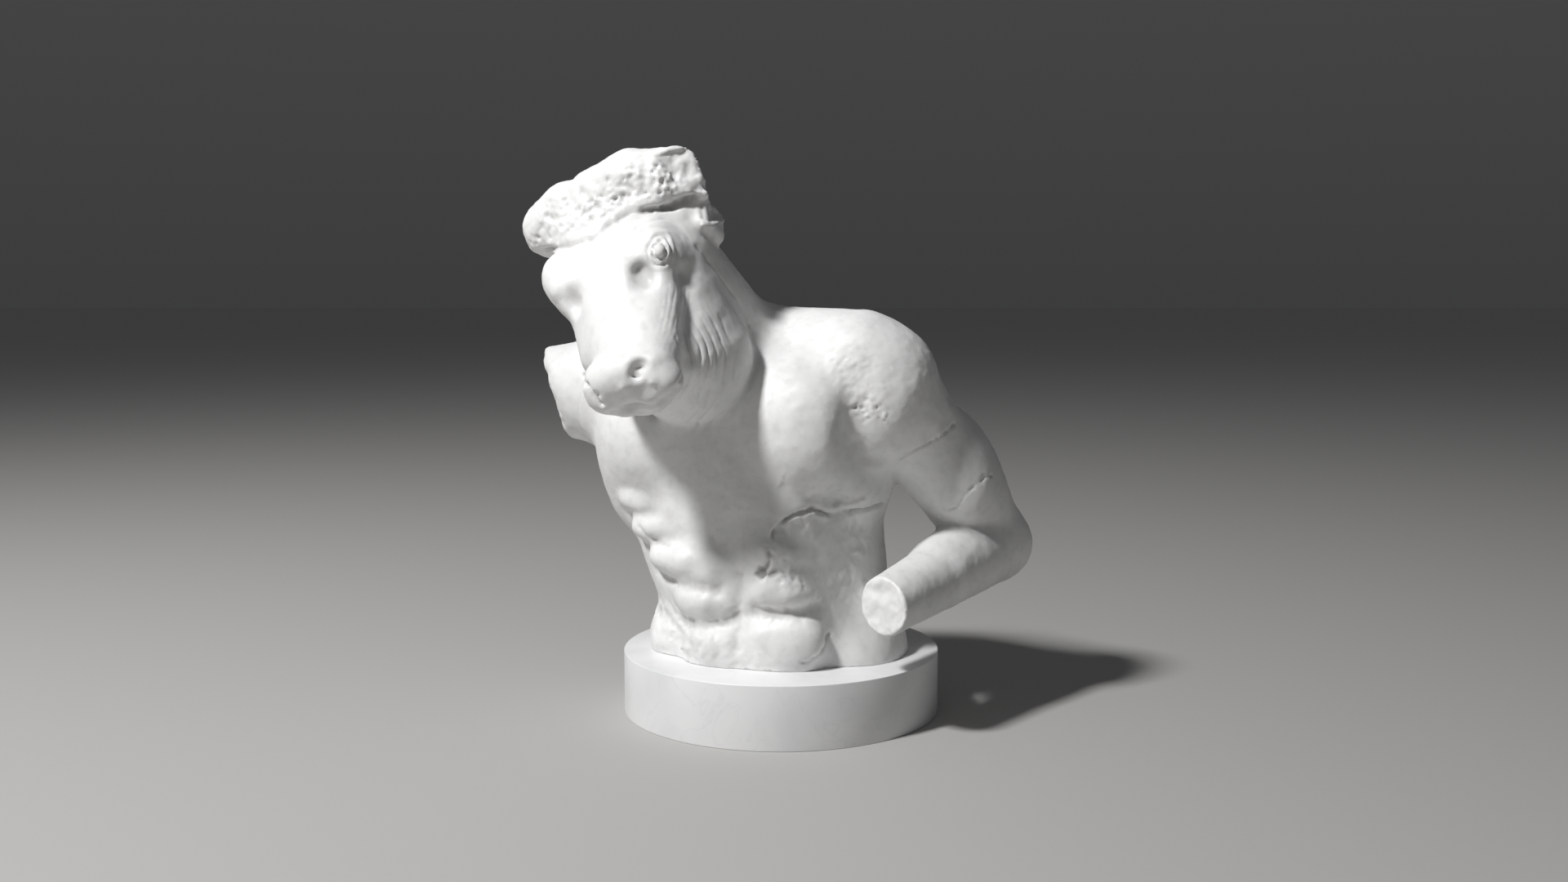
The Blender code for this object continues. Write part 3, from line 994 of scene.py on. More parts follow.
class Surface:
    """The mesh being carved: its points, normals and edges, and how to find a spot on it."""

    def __init__(self, obj: bpy.types.Object, eye: Standpoint) -> None:
        """Reads the object's mesh.

        Args:
            obj: the figure, in parts.
            eye: where it is seen from.
        """
        self.obj = obj
        self.eye = eye
        mesh = obj.data
        self.edges = read_edges(mesh)
        self.broken = np.zeros(len(mesh.vertices))
        self.refresh()
        corners = [tuple(p) for p in self.points]
        self.tree = BVHTree.FromPolygons(corners, [tuple(face.vertices) for face in mesh.polygons])

    def refresh(self) -> None:
        """Reads points and normals again from the mesh."""
        mesh = self.obj.data
        self.points = read_points(mesh)
        normals = np.empty(len(mesh.vertices) * 3, np.float32)
        mesh.vertex_normals.foreach_get("vector", normals)
        self.normals = normals.reshape(-1, 3).astype(float)
        self.spots = self.eye.spots(self.points)
        sight = self.points - np.array(self.eye.place)
        self.facing = (sight * self.normals).sum(axis=1) < 0

    def within(self, centre: np.ndarray, reach: float, facing: bool = True) -> np.ndarray:
        """The numbers of the points within reach of a centre, by default only those seen."""
        close = np.linalg.norm(self.points - centre, axis=1) < reach
        return np.flatnonzero(close & self.facing if facing else close)

    def push(self, amount: np.ndarray, near: np.ndarray | slice = slice(None)) -> None:
        """Moves points along their normals, in the mesh too, and reads the new normals.

        Args:
            amount: how far each of them moves outwards.
            near: their numbers, or all of them.
        """
        full = np.zeros(len(self.points))
        full[near] = amount
        write_points(self.obj.data, self.points + self.normals * full[:, None])
        self.refresh()

    def find(self, spot: Spot) -> np.ndarray:
        """The point of the surface that shows at a spot of the picture, or the nearest at the outline."""
        hit = self.tree.ray_cast(Vector(self.eye.place), Vector(self.eye.ray(spot)))[0]
        if hit is None:
            return self.points[np.argmin(np.linalg.norm(self.spots - spot, axis=1))]
        return np.array(hit)

    def route(self, spots: tuple[Spot, ...]) -> np.ndarray:
        """Points of the surface along a line of spots."""
        return np.array([self.find(spot) for spot in spots])


# The share of a stroke's width or radius at which it has faded to a third.
FADE = 0.6


def route_distance(points: np.ndarray, route: np.ndarray) -> np.ndarray:
    """How far points lie from a route.

    Args:
        points: one row each.
        route: the points that the route's line runs through.

    Returns:
        One distance for each point.
    """
    best = np.full(len(points), FAR)
    for start, end in zip(route[:-1], route[1:]):
        run = end - start
        share = np.clip((points - start) @ run / max(run @ run, TINY), 0.0, 1.0)
        gap = np.linalg.norm(points - start - share[:, None] * run, axis=1)
        best = np.minimum(best, gap)
    return best


@dataclass(frozen=True)
class Groove:
    """A crack, crease or ridge along a line: narrow and sharp, or wide and soft.

    The width is from its middle to where it has faded; a depth below zero is a ridge.
    """

    line: tuple[Spot, ...]
    width: float
    depth: float
    ragged: float = 0.0

    # How wide the blotches are by which its edge and its depth vary.
    EDGE_BLOTCH = 9.0
    DEPTH_BLOTCH = 22.0

    def carve(self, surface: Surface) -> None:
        """Sinks the surface along the line.

        Args:
            surface: the mesh being carved.
        """
        route = surface.route(self.line)
        middle = route.mean(axis=0)
        extent = np.linalg.norm(route - middle, axis=1).max() + 3 * self.width
        near = surface.within(middle, extent, facing=False)
        points = surface.points[near]
        edge = noise(points, self.EDGE_BLOTCH, seed=int(self.line[0][0]), octaves=2)
        gap = np.maximum(route_distance(points, route) + self.ragged * self.width * edge, 0.0)
        uneven = noise(points, self.DEPTH_BLOTCH, seed=Pattern.CRACK_DEPTH, octaves=1)
        depth = self.depth * (1 + self.ragged * uneven)
        surface.push(-depth * np.exp(-((gap / (FADE * self.width)) ** 2)), near)


@dataclass(frozen=True)
class Dab:
    """A soft swelling or hollow centred on a spot: its radius and its height, below zero for a hollow."""

    spot: Spot
    radius: float
    height: float

    def carve(self, surface: Surface) -> None:
        """Raises the surface round the spot."""
        gap = np.linalg.norm(surface.points - surface.find(self.spot), axis=1)
        surface.push(self.height * np.exp(-((gap / (FADE * self.radius)) ** 2)))


def inside(outline: tuple[Spot, ...], spots: np.ndarray, fade: float) -> np.ndarray:
    """Which spots lie inside an outline.

    Args:
        outline: its corners in order.
        spots: where it is asked, one row each.
        fade: how far to each side of the edge the answer takes to change.

    Returns:
        1 for each spot well inside, 0 well outside, and between them near the edge.
    """
    corners = np.array(outline, float)
    crossings = np.zeros(len(spots), bool)
    gap = np.full(len(spots), FAR)
    for (x0, y0), (x1, y1) in zip(corners, np.roll(corners, -1, axis=0)):
        spans = (y0 > spots[:, 1]) != (y1 > spots[:, 1])
        across = x0 + (spots[:, 1] - y0) / (y1 - y0 if y1 != y0 else TINY) * (x1 - x0)
        crossings ^= spans & (spots[:, 0] < across)
        run = np.array([x1 - x0, y1 - y0])
        share = np.clip((spots - (x0, y0)) @ run / max(run @ run, TINY), 0.0, 1.0)
        gap = np.minimum(gap, np.linalg.norm(spots - (x0, y0) - share[:, None] * run, axis=1))
    return smooth_step(-fade, fade, np.where(crossings, gap, -gap))


@dataclass(frozen=True)
class Patch:
    """An area inside an outline, as seen from the front, that is raised or sunk, rough or pitted.

    Lift is how far it stands up; rough is the height of its unevenness, with grain as the width of
    that; pits is the depth of scattered holes and pit_size their spacing; broken marks fresh stone.
    """

    outline: tuple[Spot, ...]
    fade: float = 5.0
    lift: float = 0.0
    rough: float = 0.0
    grain: float = 12.0
    pits: float = 0.0
    pit_size: float = 9.0
    pit_share: float = 0.6
    broken: float = 0.0
    reach: float = 170.0

    # How wide the edge's wanderings are, and a pit's radius as a share of their spacing.
    EDGE_BLOTCH = 14.0
    PIT_RADIUS = 0.38

    def carve(self, surface: Surface) -> None:
        """Works the area.

        Args:
            surface: the mesh being carved.
        """
        centre = surface.find(tuple(np.mean(np.array(self.outline), axis=0)))
        near = surface.within(centre, self.reach)
        points = surface.points[near]
        wander = 0.5 * self.fade * noise(points, self.EDGE_BLOTCH, seed=Pattern.PATCH_EDGE, octaves=2)
        mask = inside(self.outline, surface.spots[near] + wander[:, None], self.fade)
        amount = mask * self.lift
        if self.rough:
            amount = amount + mask * self.rough * noise(points, self.grain, seed=Pattern.ROUGHNESS)
        if self.pits:
            gap, owner = cells(points, self.pit_size, seed=Pattern.PITS)
            hole = np.exp(-((gap / self.PIT_RADIUS) ** 2))
            hole = hole * (owner < self.pit_share) * (0.5 + owner / self.pit_share / 2)
            amount = amount - mask * self.pits * hole
        surface.broken[near] = np.maximum(surface.broken[near], self.broken * mask)
        surface.push(amount, near)


@dataclass(frozen=True)
class Folds:
    """Folds of skin: grooves on rings round a centre, between two radii and two bearings.

    Bearings are in degrees from the picture's right, turning downwards; the pitch is from one groove
    to the next and the depth is theirs.
    """

    centre: Spot
    radii: Spot
    bearings: Spot
    pitch: float
    depth: float
    ragged: float = 0.25

    # Where the folds come in and fade out: from and to, off the inner and the outer radius and off the
    # outermost bearing, and in depth, so that they stay on the head.
    INNER = (-4, 6)
    OUTER = (-10, 4)
    SIDES = (-14, 8)
    HEAD = (-95.0, -125.0)
    # How wide the blotches are by which the grooves wander and by which their strength varies.
    WANDER_BLOTCH = 26.0
    STRENGTH_BLOTCH = 34.0

    def carve(self, surface: Surface) -> None:
        """Works the folds.

        Args:
            surface: the mesh being carved.
        """
        offset = surface.spots - self.centre
        radius = np.hypot(offset[:, 0], offset[:, 1])
        bearing = np.degrees(np.arctan2(offset[:, 1], offset[:, 0]))
        middle = sum(self.bearings) / 2
        spread = (self.bearings[1] - self.bearings[0]) / 2
        turn = np.abs((bearing - middle + 180) % 360 - 180)
        reached = (radius < self.radii[1] + self.OUTER[1]) & (turn < spread + self.SIDES[1])
        near = np.flatnonzero(surface.facing & reached)
        points, radius, turn = surface.points[near], radius[near], turn[near]
        mask = smooth_step(*np.add(self.radii[0], self.INNER), radius)
        mask *= 1 - smooth_step(*np.add(self.radii[1], self.OUTER), radius)
        mask *= (1 - smooth_step(*np.add(spread, self.SIDES), turn)) * smooth_step(*self.HEAD, points[:, 1])
        wander = noise(points, self.WANDER_BLOTCH, seed=Pattern.FOLD_WANDER, octaves=2)
        wander = self.pitch * self.ragged * wander
        wave = 0.5 + 0.5 * np.cos(2 * math.pi * (radius + wander) / self.pitch)
        strength = 0.65 + 0.5 * noise(points, self.STRENGTH_BLOTCH, seed=Pattern.FOLD_STRENGTH, octaves=1)
        surface.push(-self.depth * mask * strength * wave**4, near)


@dataclass(frozen=True)
class Eye:
    """The left eye: a ball inside ringed lids, upright and oval, worn and cracked.

    Each ring has its radius and width in picture points along the eye's height, and its own height.
    """

    spot: Spot = (808, 307)
    narrow: float = 0.80
    rings: tuple[tuple[float, float, float], ...] = (
        (0.0, 8.0, 2.2),
        (11.5, 2.0, -3.2),
        (14.8, 1.9, 1.8),
        (18.5, 2.2, -2.3),
        (22.5, 2.3, 1.1),
    )
    scars: tuple[tuple[Spot, Spot], ...] = (
        ((801, 296), (800, 311)),
        ((806, 295), (807, 315)),
        ((812, 299), (815, 313)),
        ((799, 313), (813, 320)),
    )
    scar_width: float = 2.8
    scar_depth: float = 2.4
    # How far the eye reaches, how far its rings wander, and the blotches of that and of their height.
    reach: float = 60
    wander: float = 1.7
    blotches: Spot = (13.0, 12.0)

    def carve(self, surface: Surface) -> None:
        """Cuts the rings, then the scars.

        Args:
            surface: the mesh being carved.
        """
        near = surface.within(surface.find(self.spot), self.reach)
        points = surface.points[near]
        gap = np.linalg.norm((surface.spots[near] - self.spot) / (self.narrow, 1.0), axis=1)
        gap = gap + self.wander * noise(points, self.blotches[0], seed=Pattern.EYE, octaves=2)
        amount = np.zeros(len(points))
        for radius, width, height in self.rings:
            uneven = 1 + 0.5 * noise(points, self.blotches[1], seed=int(radius), octaves=1)
            amount += height * uneven * np.exp(-(((gap - radius) / width) ** 2))
        surface.push(amount, near)
        for scar in self.scars:
            Groove(scar, self.scar_width, self.scar_depth, ragged=0.3).carve(surface)


@dataclass(frozen=True)
class Carving:
    """The figure's finer carving and its damage, in the order they are worked."""

    # The belly: its middle line, the swells beside it and the creases under them.
    belly: tuple[Dab | Groove, ...] = (
        Dab((935, 720), 34, 6.0),
        Dab((966, 722), 26, 4.0),
        Dab((836, 688), 26, 3.5),
        Dab((866, 706), 26, 4.0),
        Dab((862, 738), 22, 3.5),
        Dab((928, 780), 22, 4.0),
        Dab((868, 790), 22, 3.5),
        Dab((786, 622), 20, 2.5),
        Groove(((922, 748), (948, 754), (975, 752), (1002, 744)), 20.0, 5.5, ragged=0.15),
        Groove(((907, 706), (906, 732), (903, 765), (902, 800)), 14.0, 3.4, ragged=0.2),
        Groove(((836, 760), (860, 767), (885, 765), (900, 756)), 16.0, 4.5, ragged=0.2),
        Groove(((803, 700), (828, 716), (852, 722), (880, 724)), 14.0, 3.0, ragged=0.2),
        Groove(((782, 645), (800, 662), (818, 670)), 8.0, 2.4, ragged=0.3),
        Groove(((1015, 775), (1009, 794), (996, 806), (983, 812)), 5.0, 3.4, ragged=0.4),
    )
    # Under the left breast the stone is broken away along a crack; the face below lies deeper.
    breast_crack: tuple[Patch | Groove | Dab, ...] = (
        Patch(
            ((944, 662), (958, 643), (984, 629), (1015, 634), (1050, 632), (1062, 660), (1040, 700),
             (1000, 716), (968, 706), (944, 700), (940, 684)),
            8.0, lift=-3.0, rough=0.9, grain=26,
        ),
        Patch(
            ((950, 650), (1000, 636), (1050, 640), (1052, 720), (1010, 740), (965, 708)),
            24.0, lift=-4.0,
        ),
        Groove(
            ((946, 657), (957, 642), (973, 630), (997, 624), (1018, 631), (1050, 627), (1070, 621),
             (1083, 616)),
            6.0, 8.0, ragged=0.22,
        ),
        Groove(((1022, 622), (1040, 618), (1056, 612)), 7.0, -3.0, ragged=0.3),
        Groove(((946, 657), (942, 672), (944, 684), (938, 696), (928, 703)), 4.5, 5.0, ragged=0.6),
        Groove(((955, 698), (945, 703), (932, 703)), 7.0, 7.0, ragged=0.5),
        Dab((966, 690), 9, -3.5),
    )
    # Mends and cracks of the left shoulder, upper arm and forearm.
    arm_cracks: tuple[Groove, ...] = (
        Groove(((1104, 562), (1123, 551), (1140, 541), (1157, 530), (1169, 519)), 3.2, 3.6, ragged=0.3),
        Groove(
            ((1151, 632), (1162, 624), (1173, 621), (1180, 608), (1190, 598), (1206, 584), (1216, 582)),
            2.8, 2.6, ragged=0.6,
        ),
        Groove(((1052, 545), (1062, 560), (1080, 562)), 20.0, 5.0),
    )
    # Worn and pitted places.
    worn: tuple[Patch, ...] = (
        Patch(
            ((1036, 492), (1062, 486), (1092, 500), (1086, 518), (1058, 516), (1040, 506)),
            5, rough=1.6, grain=9, pits=3.2, pit_size=8, pit_share=0.7,
        ),
        Patch(
            ((1010, 440), (1052, 420), (1100, 452), (1090, 490), (1040, 490), (1016, 474)),
            12, rough=0.8, grain=10, pits=1.2, pit_size=9, pit_share=0.5,
        ),
        Patch(
            ((985, 610), (1008, 588), (1036, 596), (1044, 618), (1010, 622), (990, 622)),
            7, rough=1.6, grain=14, pits=1.6, pit_size=9,
        ),
        Patch(
            ((925, 690), (952, 672), (972, 690), (990, 712), (984, 728), (958, 722), (930, 710)),
            9, rough=1.8, grain=14, pits=2.4, pit_size=9, broken=0.2,
        ),
        Patch(
            ((800, 728), (822, 738), (848, 766), (878, 800), (868, 818), (838, 802), (808, 770)),
            7, rough=2.6, grain=20, pits=1.6, pit_size=11, broken=0.2,
        ),
        Patch(((868, 780), (905, 776), (955, 800), (950, 820), (880, 820)), 8, rough=1.3, grain=15),
        Patch(
            ((800, 738), (818, 752), (846, 788), (854, 812), (806, 800)),
            4, lift=-4.0, rough=1.0, grain=14,
        ),
        Patch(((1130, 400), (1190, 470), (1160, 540), (1100, 540), (1090, 450)), 14, rough=0.6, grain=16),
    )
    # The face: the edge where the flat cheek turns back, the hollow before the eye and the muzzle.
    face: tuple[Dab | Groove, ...] = (
        Groove(((838, 338), (846, 375), (842, 410), (848, 438)), 25.0, 7.0),
        Groove(((853, 302), (880, 336), (903, 366), (917, 398)), 5.0, 2.0, ragged=0.2),
        Dab((783, 331), 19, -7.0),
        Dab((800, 272), 30, 3.0),
        Dab((782, 449), 15, -13.0),
        Dab((778, 459), 12, -10.0),
        Dab((784, 446), 10, -8.0),
        Dab((800, 467), 9, 3.5),
        Dab((764, 474), 10, 2.0),
        Groove(((716, 459), (719, 471), (726, 485), (736, 496)), 5.0, 6.0),
        Dab((730, 484), 8, -4.0),
        Dab((796, 508), 22, -6.0),
        Groove(((748, 509), (766, 501), (790, 500), (812, 494), (828, 480)), 13.0, 7.0),
    )
    # The left eye, then the folds of skin on cheek and throat.
    eye: Eye = Eye()
    folds: tuple[Folds, ...] = (
        Folds((788, 446), (44, 112), (-42, 66), 10.0, 2.4),
        Folds((560, 330), (252, 290), (2, 18), 6.5, 1.3, ragged=0.2),
        Folds((807, 309), (26, 50), (-150, -20), 8.0, 1.2),
    )
    # The hair: a mass undercut along the brow, deeply pitted towards the horn.
    hair: tuple[Patch | Groove, ...] = (
        Groove(
            ((668, 306), (700, 300), (726, 291), (747, 274), (768, 263), (789, 258), (821, 254),
             (852, 243)),
            6.0, 4.5, ragged=0.3,
        ),
        Groove(((790, 257), (821, 252), (848, 242), (864, 226)), 10.0, 5.0, ragged=0.2),
        Patch(
            ((640, 320), (640, 150), (880, 150), (868, 216), (857, 238), (819, 250), (787, 253), (766, 258),
             (745, 269), (724, 287), (698, 297), (664, 304)),
            3.0, lift=1.0, rough=0.9, grain=16, reach=230.0,
        ),
        Patch(
            ((704, 270), (722, 250), (748, 226), (782, 206), (814, 199), (826, 212), (838, 226), (826, 240),
             (800, 246), (772, 250), (745, 262), (720, 280)),
            6.0, rough=2.4, grain=10, pits=6.0, pit_size=9.5, pit_share=0.9,
        ),
        Patch(
            ((650, 300), (652, 262), (690, 240), (722, 258), (702, 288), (664, 302)),
            9.0, rough=1.8, grain=11, pits=4.2, pit_size=10.0, pit_share=0.8,
        ),
        Patch(
            ((690, 232), (735, 205), (790, 190), (800, 202), (760, 222), (715, 250)),
            8.0, rough=1.3, grain=13, pits=1.6, pit_size=12.0, pit_share=0.5,
        ),
        Patch(((802, 190), (845, 180), (862, 212), (843, 221), (818, 206)), 2.0, lift=-2.8),
    )
    locks: tuple[Groove, ...] = (
        Groove(((704, 223), (712, 236), (726, 250), (738, 262)), 8.0, 3.4, ragged=0.4),
        Groove(((745, 220), (770, 228), (785, 240)), 4.5, 2.6, ragged=0.5),
        Groove(((770, 207), (792, 212), (812, 226)), 4.5, 2.8, ragged=0.5),
        Groove(((716, 262), (742, 246), (768, 240), (796, 238)), 5.0, 2.6, ragged=0.6),
    )
    # The left ear's broken cup and its lower rim.
    ear: tuple[Patch | Groove, ...] = (
        Patch(((857, 246), (870, 243), (884, 252), (886, 267), (872, 272), (858, 266)), 3.0, lift=-5.0),
        Groove(((860, 275), (872, 277), (886, 270)), 4.0, -2.5),
    )

    def carve(self, surface: Surface) -> None:
        """Works all of it."""
        body = (*self.belly, *self.breast_crack, *self.arm_cracks, *self.worn)
        head = (*self.face, self.eye, *self.folds, *self.hair, *self.locks, *self.ear)
        for work in body + head:
            work.carve(surface)


# From clay to a finished mesh.


def read_points(mesh: bpy.types.Mesh) -> np.ndarray:
    """A mesh's points as rows."""
    points = np.empty(len(mesh.vertices) * 3, np.float32)
    mesh.vertices.foreach_get("co", points)
    return points.reshape(-1, 3).astype(float)


def read_edges(mesh: bpy.types.Mesh) -> np.ndarray:
    """A mesh's edges as rows of two point numbers."""
    edges = np.empty(len(mesh.edges) * 2, np.int32)
    mesh.edges.foreach_get("vertices", edges)
    return edges.reshape(-1, 2)


def write_points(mesh: bpy.types.Mesh, points: np.ndarray) -> None:
    """Puts the rows back as the mesh's points."""
    mesh.vertices.foreach_set("co", points.astype(np.float32).ravel())
    mesh.update()


def new_object(name: str, data: bpy.types.ID) -> bpy.types.Object:
    """A new object in the scene."""
    obj = bpy.data.objects.new(name, data)
    bpy.context.scene.collection.objects.link(obj)
    return obj


def applied(obj: bpy.types.Object) -> bpy.types.Mesh:
    """The object's mesh with its modifiers applied."""
    graph = bpy.context.evaluated_depsgraph_get()
    mesh = bpy.data.meshes.new_from_object(obj.evaluated_get(graph))
    obj.modifiers.clear()
    obj.data = mesh
    return mesh


def rough_mesh(clay: Clay, segments: tuple[int, int] = (32, 20)) -> bpy.types.Mesh:
    """One sphere pressed into the shape of each form laid on, all in one mesh.

    Args:
        clay: the strokes.
        segments: each sphere's, round it and from pole to pole.

    Returns:
        The mesh, whose spheres run through each other.
    """
    bm = bmesh.new()
    size = {"u_segments": segments[0], "v_segments": segments[1], "radius": 1.0}
    for form in (stroke.form for stroke in clay.strokes if not stroke.takes_off):
        made = bmesh.ops.create_uvsphere(bm, **size)["verts"]
        sphere = np.array([v.co for v in made])
        for vertex, place in zip(made, form.shape(sphere)):
            vertex.co = place
    bmesh.ops.recalc_face_normals(bm, faces=bm.faces)
    mesh = bpy.data.meshes.new("rough")
    bm.to_mesh(mesh)
    bm.free()
    return mesh


def give_values(mesh: bpy.types.Mesh, name: str, values: np.ndarray) -> None:
    """Keeps one value a point in the mesh, for its finish to read."""
    layer = mesh.attributes.new(name, "FLOAT", "POINT")
    layer.data.foreach_set("value", values.astype(np.float32))


def hollows(surface: Surface, rounds: int) -> np.ndarray:
    """How deep the surface is hollowed.

    Args:
        surface: the carved mesh.
        rounds: how many times its points are smoothed to find what surrounds them.

    Returns:
        How many parts each point lies below its surroundings.
    """
    smoothed = surface.points
    for _ in range(rounds):
        smoothed = neighbour_mean(smoothed, surface.edges)
    return ((smoothed - surface.points) * surface.normals).sum(axis=1)


@dataclass(frozen=True)
class Figure:
    """The whole carved figure and how finely it is meshed."""

    eye: Standpoint
    torso: Torso = Torso()
    shoulders: Shoulders = Shoulders()
    left_arm: LeftArm = LeftArm()
    right_stump: RightStump = RightStump()
    head: Head = Head()
    carving: Carving = Carving()
    # Voxels of the two meshes, and how often each is moved onto the surface and spread out meanwhile.
    coarse: float = 6.0
    coarse_rounds: tuple[int, int] = (6, 4)
    fine: float = 2.8
    fine_rounds: tuple[int, int] = (3, 2)
    triangles: int = 190000
    # Blotches and heights of the wear all over, and of the broken faces' roughness.
    weathering: tuple[Spot, ...] = ((48.0, 0.8), (17.0, 0.42), (6.5, 0.2))
    break_roughness: tuple[Spot, ...] = ((24.0, 3.0), (9.0, 1.0))
    # What counts as a broken face: a little more than its cut's reach, a depth from and to which it
    # fades, and how square to the cut it lies. Its edge is softened this many times.
    break_reach: float = 1.15
    break_depth: Spot = (1.0, 4.0)
    break_facing: float = 0.75
    break_softened: int = 2
    hollow_rounds: int = 14

    def model(self) -> tuple[Clay, tuple[Cut, ...]]:
        """Models the whole figure.

        Returns:
            All the strokes, and the flat breaks among them.
        """
        clay = Clay()
        core = self.torso.model(clay)
        left, right = self.shoulders.model(clay, core)
        arm_break = self.left_arm.model(clay, left)
        stump_break = self.right_stump.model(clay, right)
        self.head.model_neck(clay, core)
        return clay, (arm_break, stump_break, *self.head.model(clay))

    def mesh(self, clay: Clay) -> bpy.types.Object:
        """Meshes the clay, coarse and then fine, each settled onto the surface.

        Args:
            clay: the strokes.

        Returns:
            An even closed mesh in parts, as an object.
        """
        obj = new_object("carved_figure", rough_mesh(clay))
        fine = self.fine
        for voxel, rounds in ((self.coarse, self.coarse_rounds), (fine, self.fine_rounds)):
            remesh = obj.modifiers.new("clay", "REMESH")
            remesh.mode = "VOXEL"
            remesh.voxel_size = voxel
            mesh = applied(obj)
            points = clay.settle(read_points(mesh), read_edges(mesh), *rounds)
            write_points(mesh, points)
            LOG.info("clay at %.1f: %d points", voxel, len(points))
        return obj

    def weather(self, surface: Surface, breaks: tuple[Cut, ...]) -> None:
        """Roughens the broken faces and wears the whole stone a little.

        Args:
            surface: the carved mesh.
            breaks: the figure's flat breaks.
        """
        broken = surface.broken
        for cut in breaks:
            close = np.linalg.norm(surface.points - cut.centre, axis=1) < cut.reach * self.break_reach
            flat = 1 - smooth_step(*self.break_depth, np.abs(cut.distance(surface.points)))
            along = (surface.normals @ cut.normal) > self.break_facing
            broken = np.maximum(broken, close * flat * along)
        for _ in range(self.break_softened):
            broken = neighbour_mean(broken[:, None], surface.edges)[:, 0]
        surface.broken = broken
        amount = np.zeros(len(surface.points))
        for size, height in self.weathering:
            amount += height * noise(surface.points, size, seed=Pattern.WEATHER, octaves=2)
        for size, height in self.break_roughness:
            amount += broken * height * noise(surface.points, size, seed=Pattern.BREAK, octaves=2)
        surface.push(amount)

    def build(self) -> tuple[bpy.types.Object, float]:
        """Models, meshes, carves and wears the figure.

        Returns:
            The figure in the row frame, ready to stand for its CAD node, and its part in metres.
        """
        clay, breaks = self.model()
        obj = self.mesh(clay)
        surface = Surface(obj, self.eye)
        self.carving.carve(surface)
        LOG.info("carved")
        self.weather(surface, breaks)
        mesh = obj.data
        give_values(mesh, "broken", np.clip(surface.broken, 0, 1))
        # How deep each point lies below its surroundings; the finish darkens the hollows by it as painted
        # shade.
        give_values(mesh, "hollow", hollows(surface, self.hollow_rounds))
        facets = obj.modifiers.new("facets", "DECIMATE")
        facets.ratio = min(1.0, self.triangles / (2 * len(mesh.polygons)))
        applied(obj)
        part = self.bring_to_size(obj)
        LOG.info("figure: %d triangles", len(obj.data.polygons))
        return obj, part

    def bring_to_size(self, obj: bpy.types.Object) -> float:
        """Saws the figure flat at its bed and brings it to the CAD node's height and box.

        Args:
            obj: the figure, in parts.

        Returns:
            The length of a part in metres.
        """
        low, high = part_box(FIGURE_NODE)
        bm = bmesh.new()
        bm.from_mesh(obj.data)
        everything = bm.verts[:] + bm.edges[:] + bm.faces[:]
        up = (0, 0, 1)
        bmesh.ops.bisect_plane(bm, geom=everything, plane_co=(0, 0, 0), plane_no=up, clear_inner=True)
        rim = [edge for edge in bm.edges if edge.is_boundary]
        bmesh.ops.triangle_fill(bm, use_beauty=True, use_dissolve=False, edges=rim)
        bmesh.ops.triangulate(bm, faces=bm.faces[:])
        bmesh.ops.recalc_face_normals(bm, faces=bm.faces)
        part = (high[2] - low[2]) / max(vertex.co.z for vertex in bm.verts)
        bm.transform(Matrix.Translation((0, 0, low[2])) @ Matrix.Scale(part, 4))
        for vertex in bm.verts:
            vertex.co = [min(max(value, a), b) for value, a, b in zip(vertex.co, low, high)]
        bm.to_mesh(obj.data)
        bm.free()
        obj.data.shade_smooth()
        return part


@dataclass(frozen=True)
class Plinth:
    """The plain round plinth, turned and honed, with its arrises just taken off."""

    sides: int = 256
    arris: float = 0.0012
    arris_steps: int = 4

    def build(self) -> bpy.types.Object:
        """Turns the plinth.

        Returns:
            The plinth in the row frame, ready to stand for its CAD node.
        """
        low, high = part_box(PLINTH_NODE)
        middle = (high[0] - low[0]) / 2 - self.arris
        lower = [(0.0, low[2]), (middle, low[2])]
        upper = []
        for step in range(self.arris_steps + 1):
            angle = step / self.arris_steps * math.pi / 2
            sine, cosine = math.sin(angle) * self.arris, math.cos(angle) * self.arris
            lower.append((middle + sine, low[2] + self.arris - cosine))
            upper.append((middle + cosine, high[2] - self.arris + sine))
        profile = [*lower, *upper, (0.0, high[2])]
        bm = bmesh.new()
        line = [bm.verts.new((x, 0.0, z)) for x, z in profile]
        edges = [bm.edges.new(pair) for pair in zip(line[:-1], line[1:])]
        turning = {"cent": (0, 0, 0), "axis": (0, 0, 1), "angle": math.tau, "steps": self.sides}
        bmesh.ops.spin(bm, geom=line + edges, use_merge=True, **turning)
        bmesh.ops.remove_doubles(bm, verts=bm.verts, dist=1e-6)
        bmesh.ops.recalc_face_normals(bm, faces=bm.faces)
        mesh = bpy.data.meshes.new("turned_plinth")
        bm.to_mesh(mesh)
        bm.free()
        mesh.shade_smooth()
        return new_object("turned_plinth", mesh)


# Finishes.


def linear(colour: str) -> tuple[float, float, float, float]:
    """A colour given as an sRGB hex value, turned to linear."""
    values = [int(colour[i : i + 2], 16) / 255 for i in (1, 3, 5)]
    return (*[v / 12.92 if v <= 0.04045 else ((v + 0.055) / 1.055) ** 2.4 for v in values], 1.0)


def per_metre(millimetres: float) -> float:
    """The scale of a pattern whose repeat is that wide."""
    return 1000.0 / millimetres


def add(
    tree: bpy.types.NodeTree, kind: str, inputs: dict[str | int, object] | tuple = (), **settings: object
) -> bpy.types.Node:
    """Adds a node with its settings, and its inputs as values or as links from sockets.

    Args:
        tree: the material's nodes.
        kind: the node's type.
        inputs: a value or a socket for each named or numbered input, or for the first ones in order.
        settings: the node's own properties.

    Returns:
        The node.
    """
    made = tree.nodes.new(kind)
    for name, value in settings.items():
        setattr(made, name, value)
    for name, value in (inputs.items() if isinstance(inputs, dict) else enumerate(inputs)):
        if isinstance(value, bpy.types.NodeSocket):
            tree.links.new(value, made.inputs[name])
        else:
            made.inputs[name].default_value = value
    return made


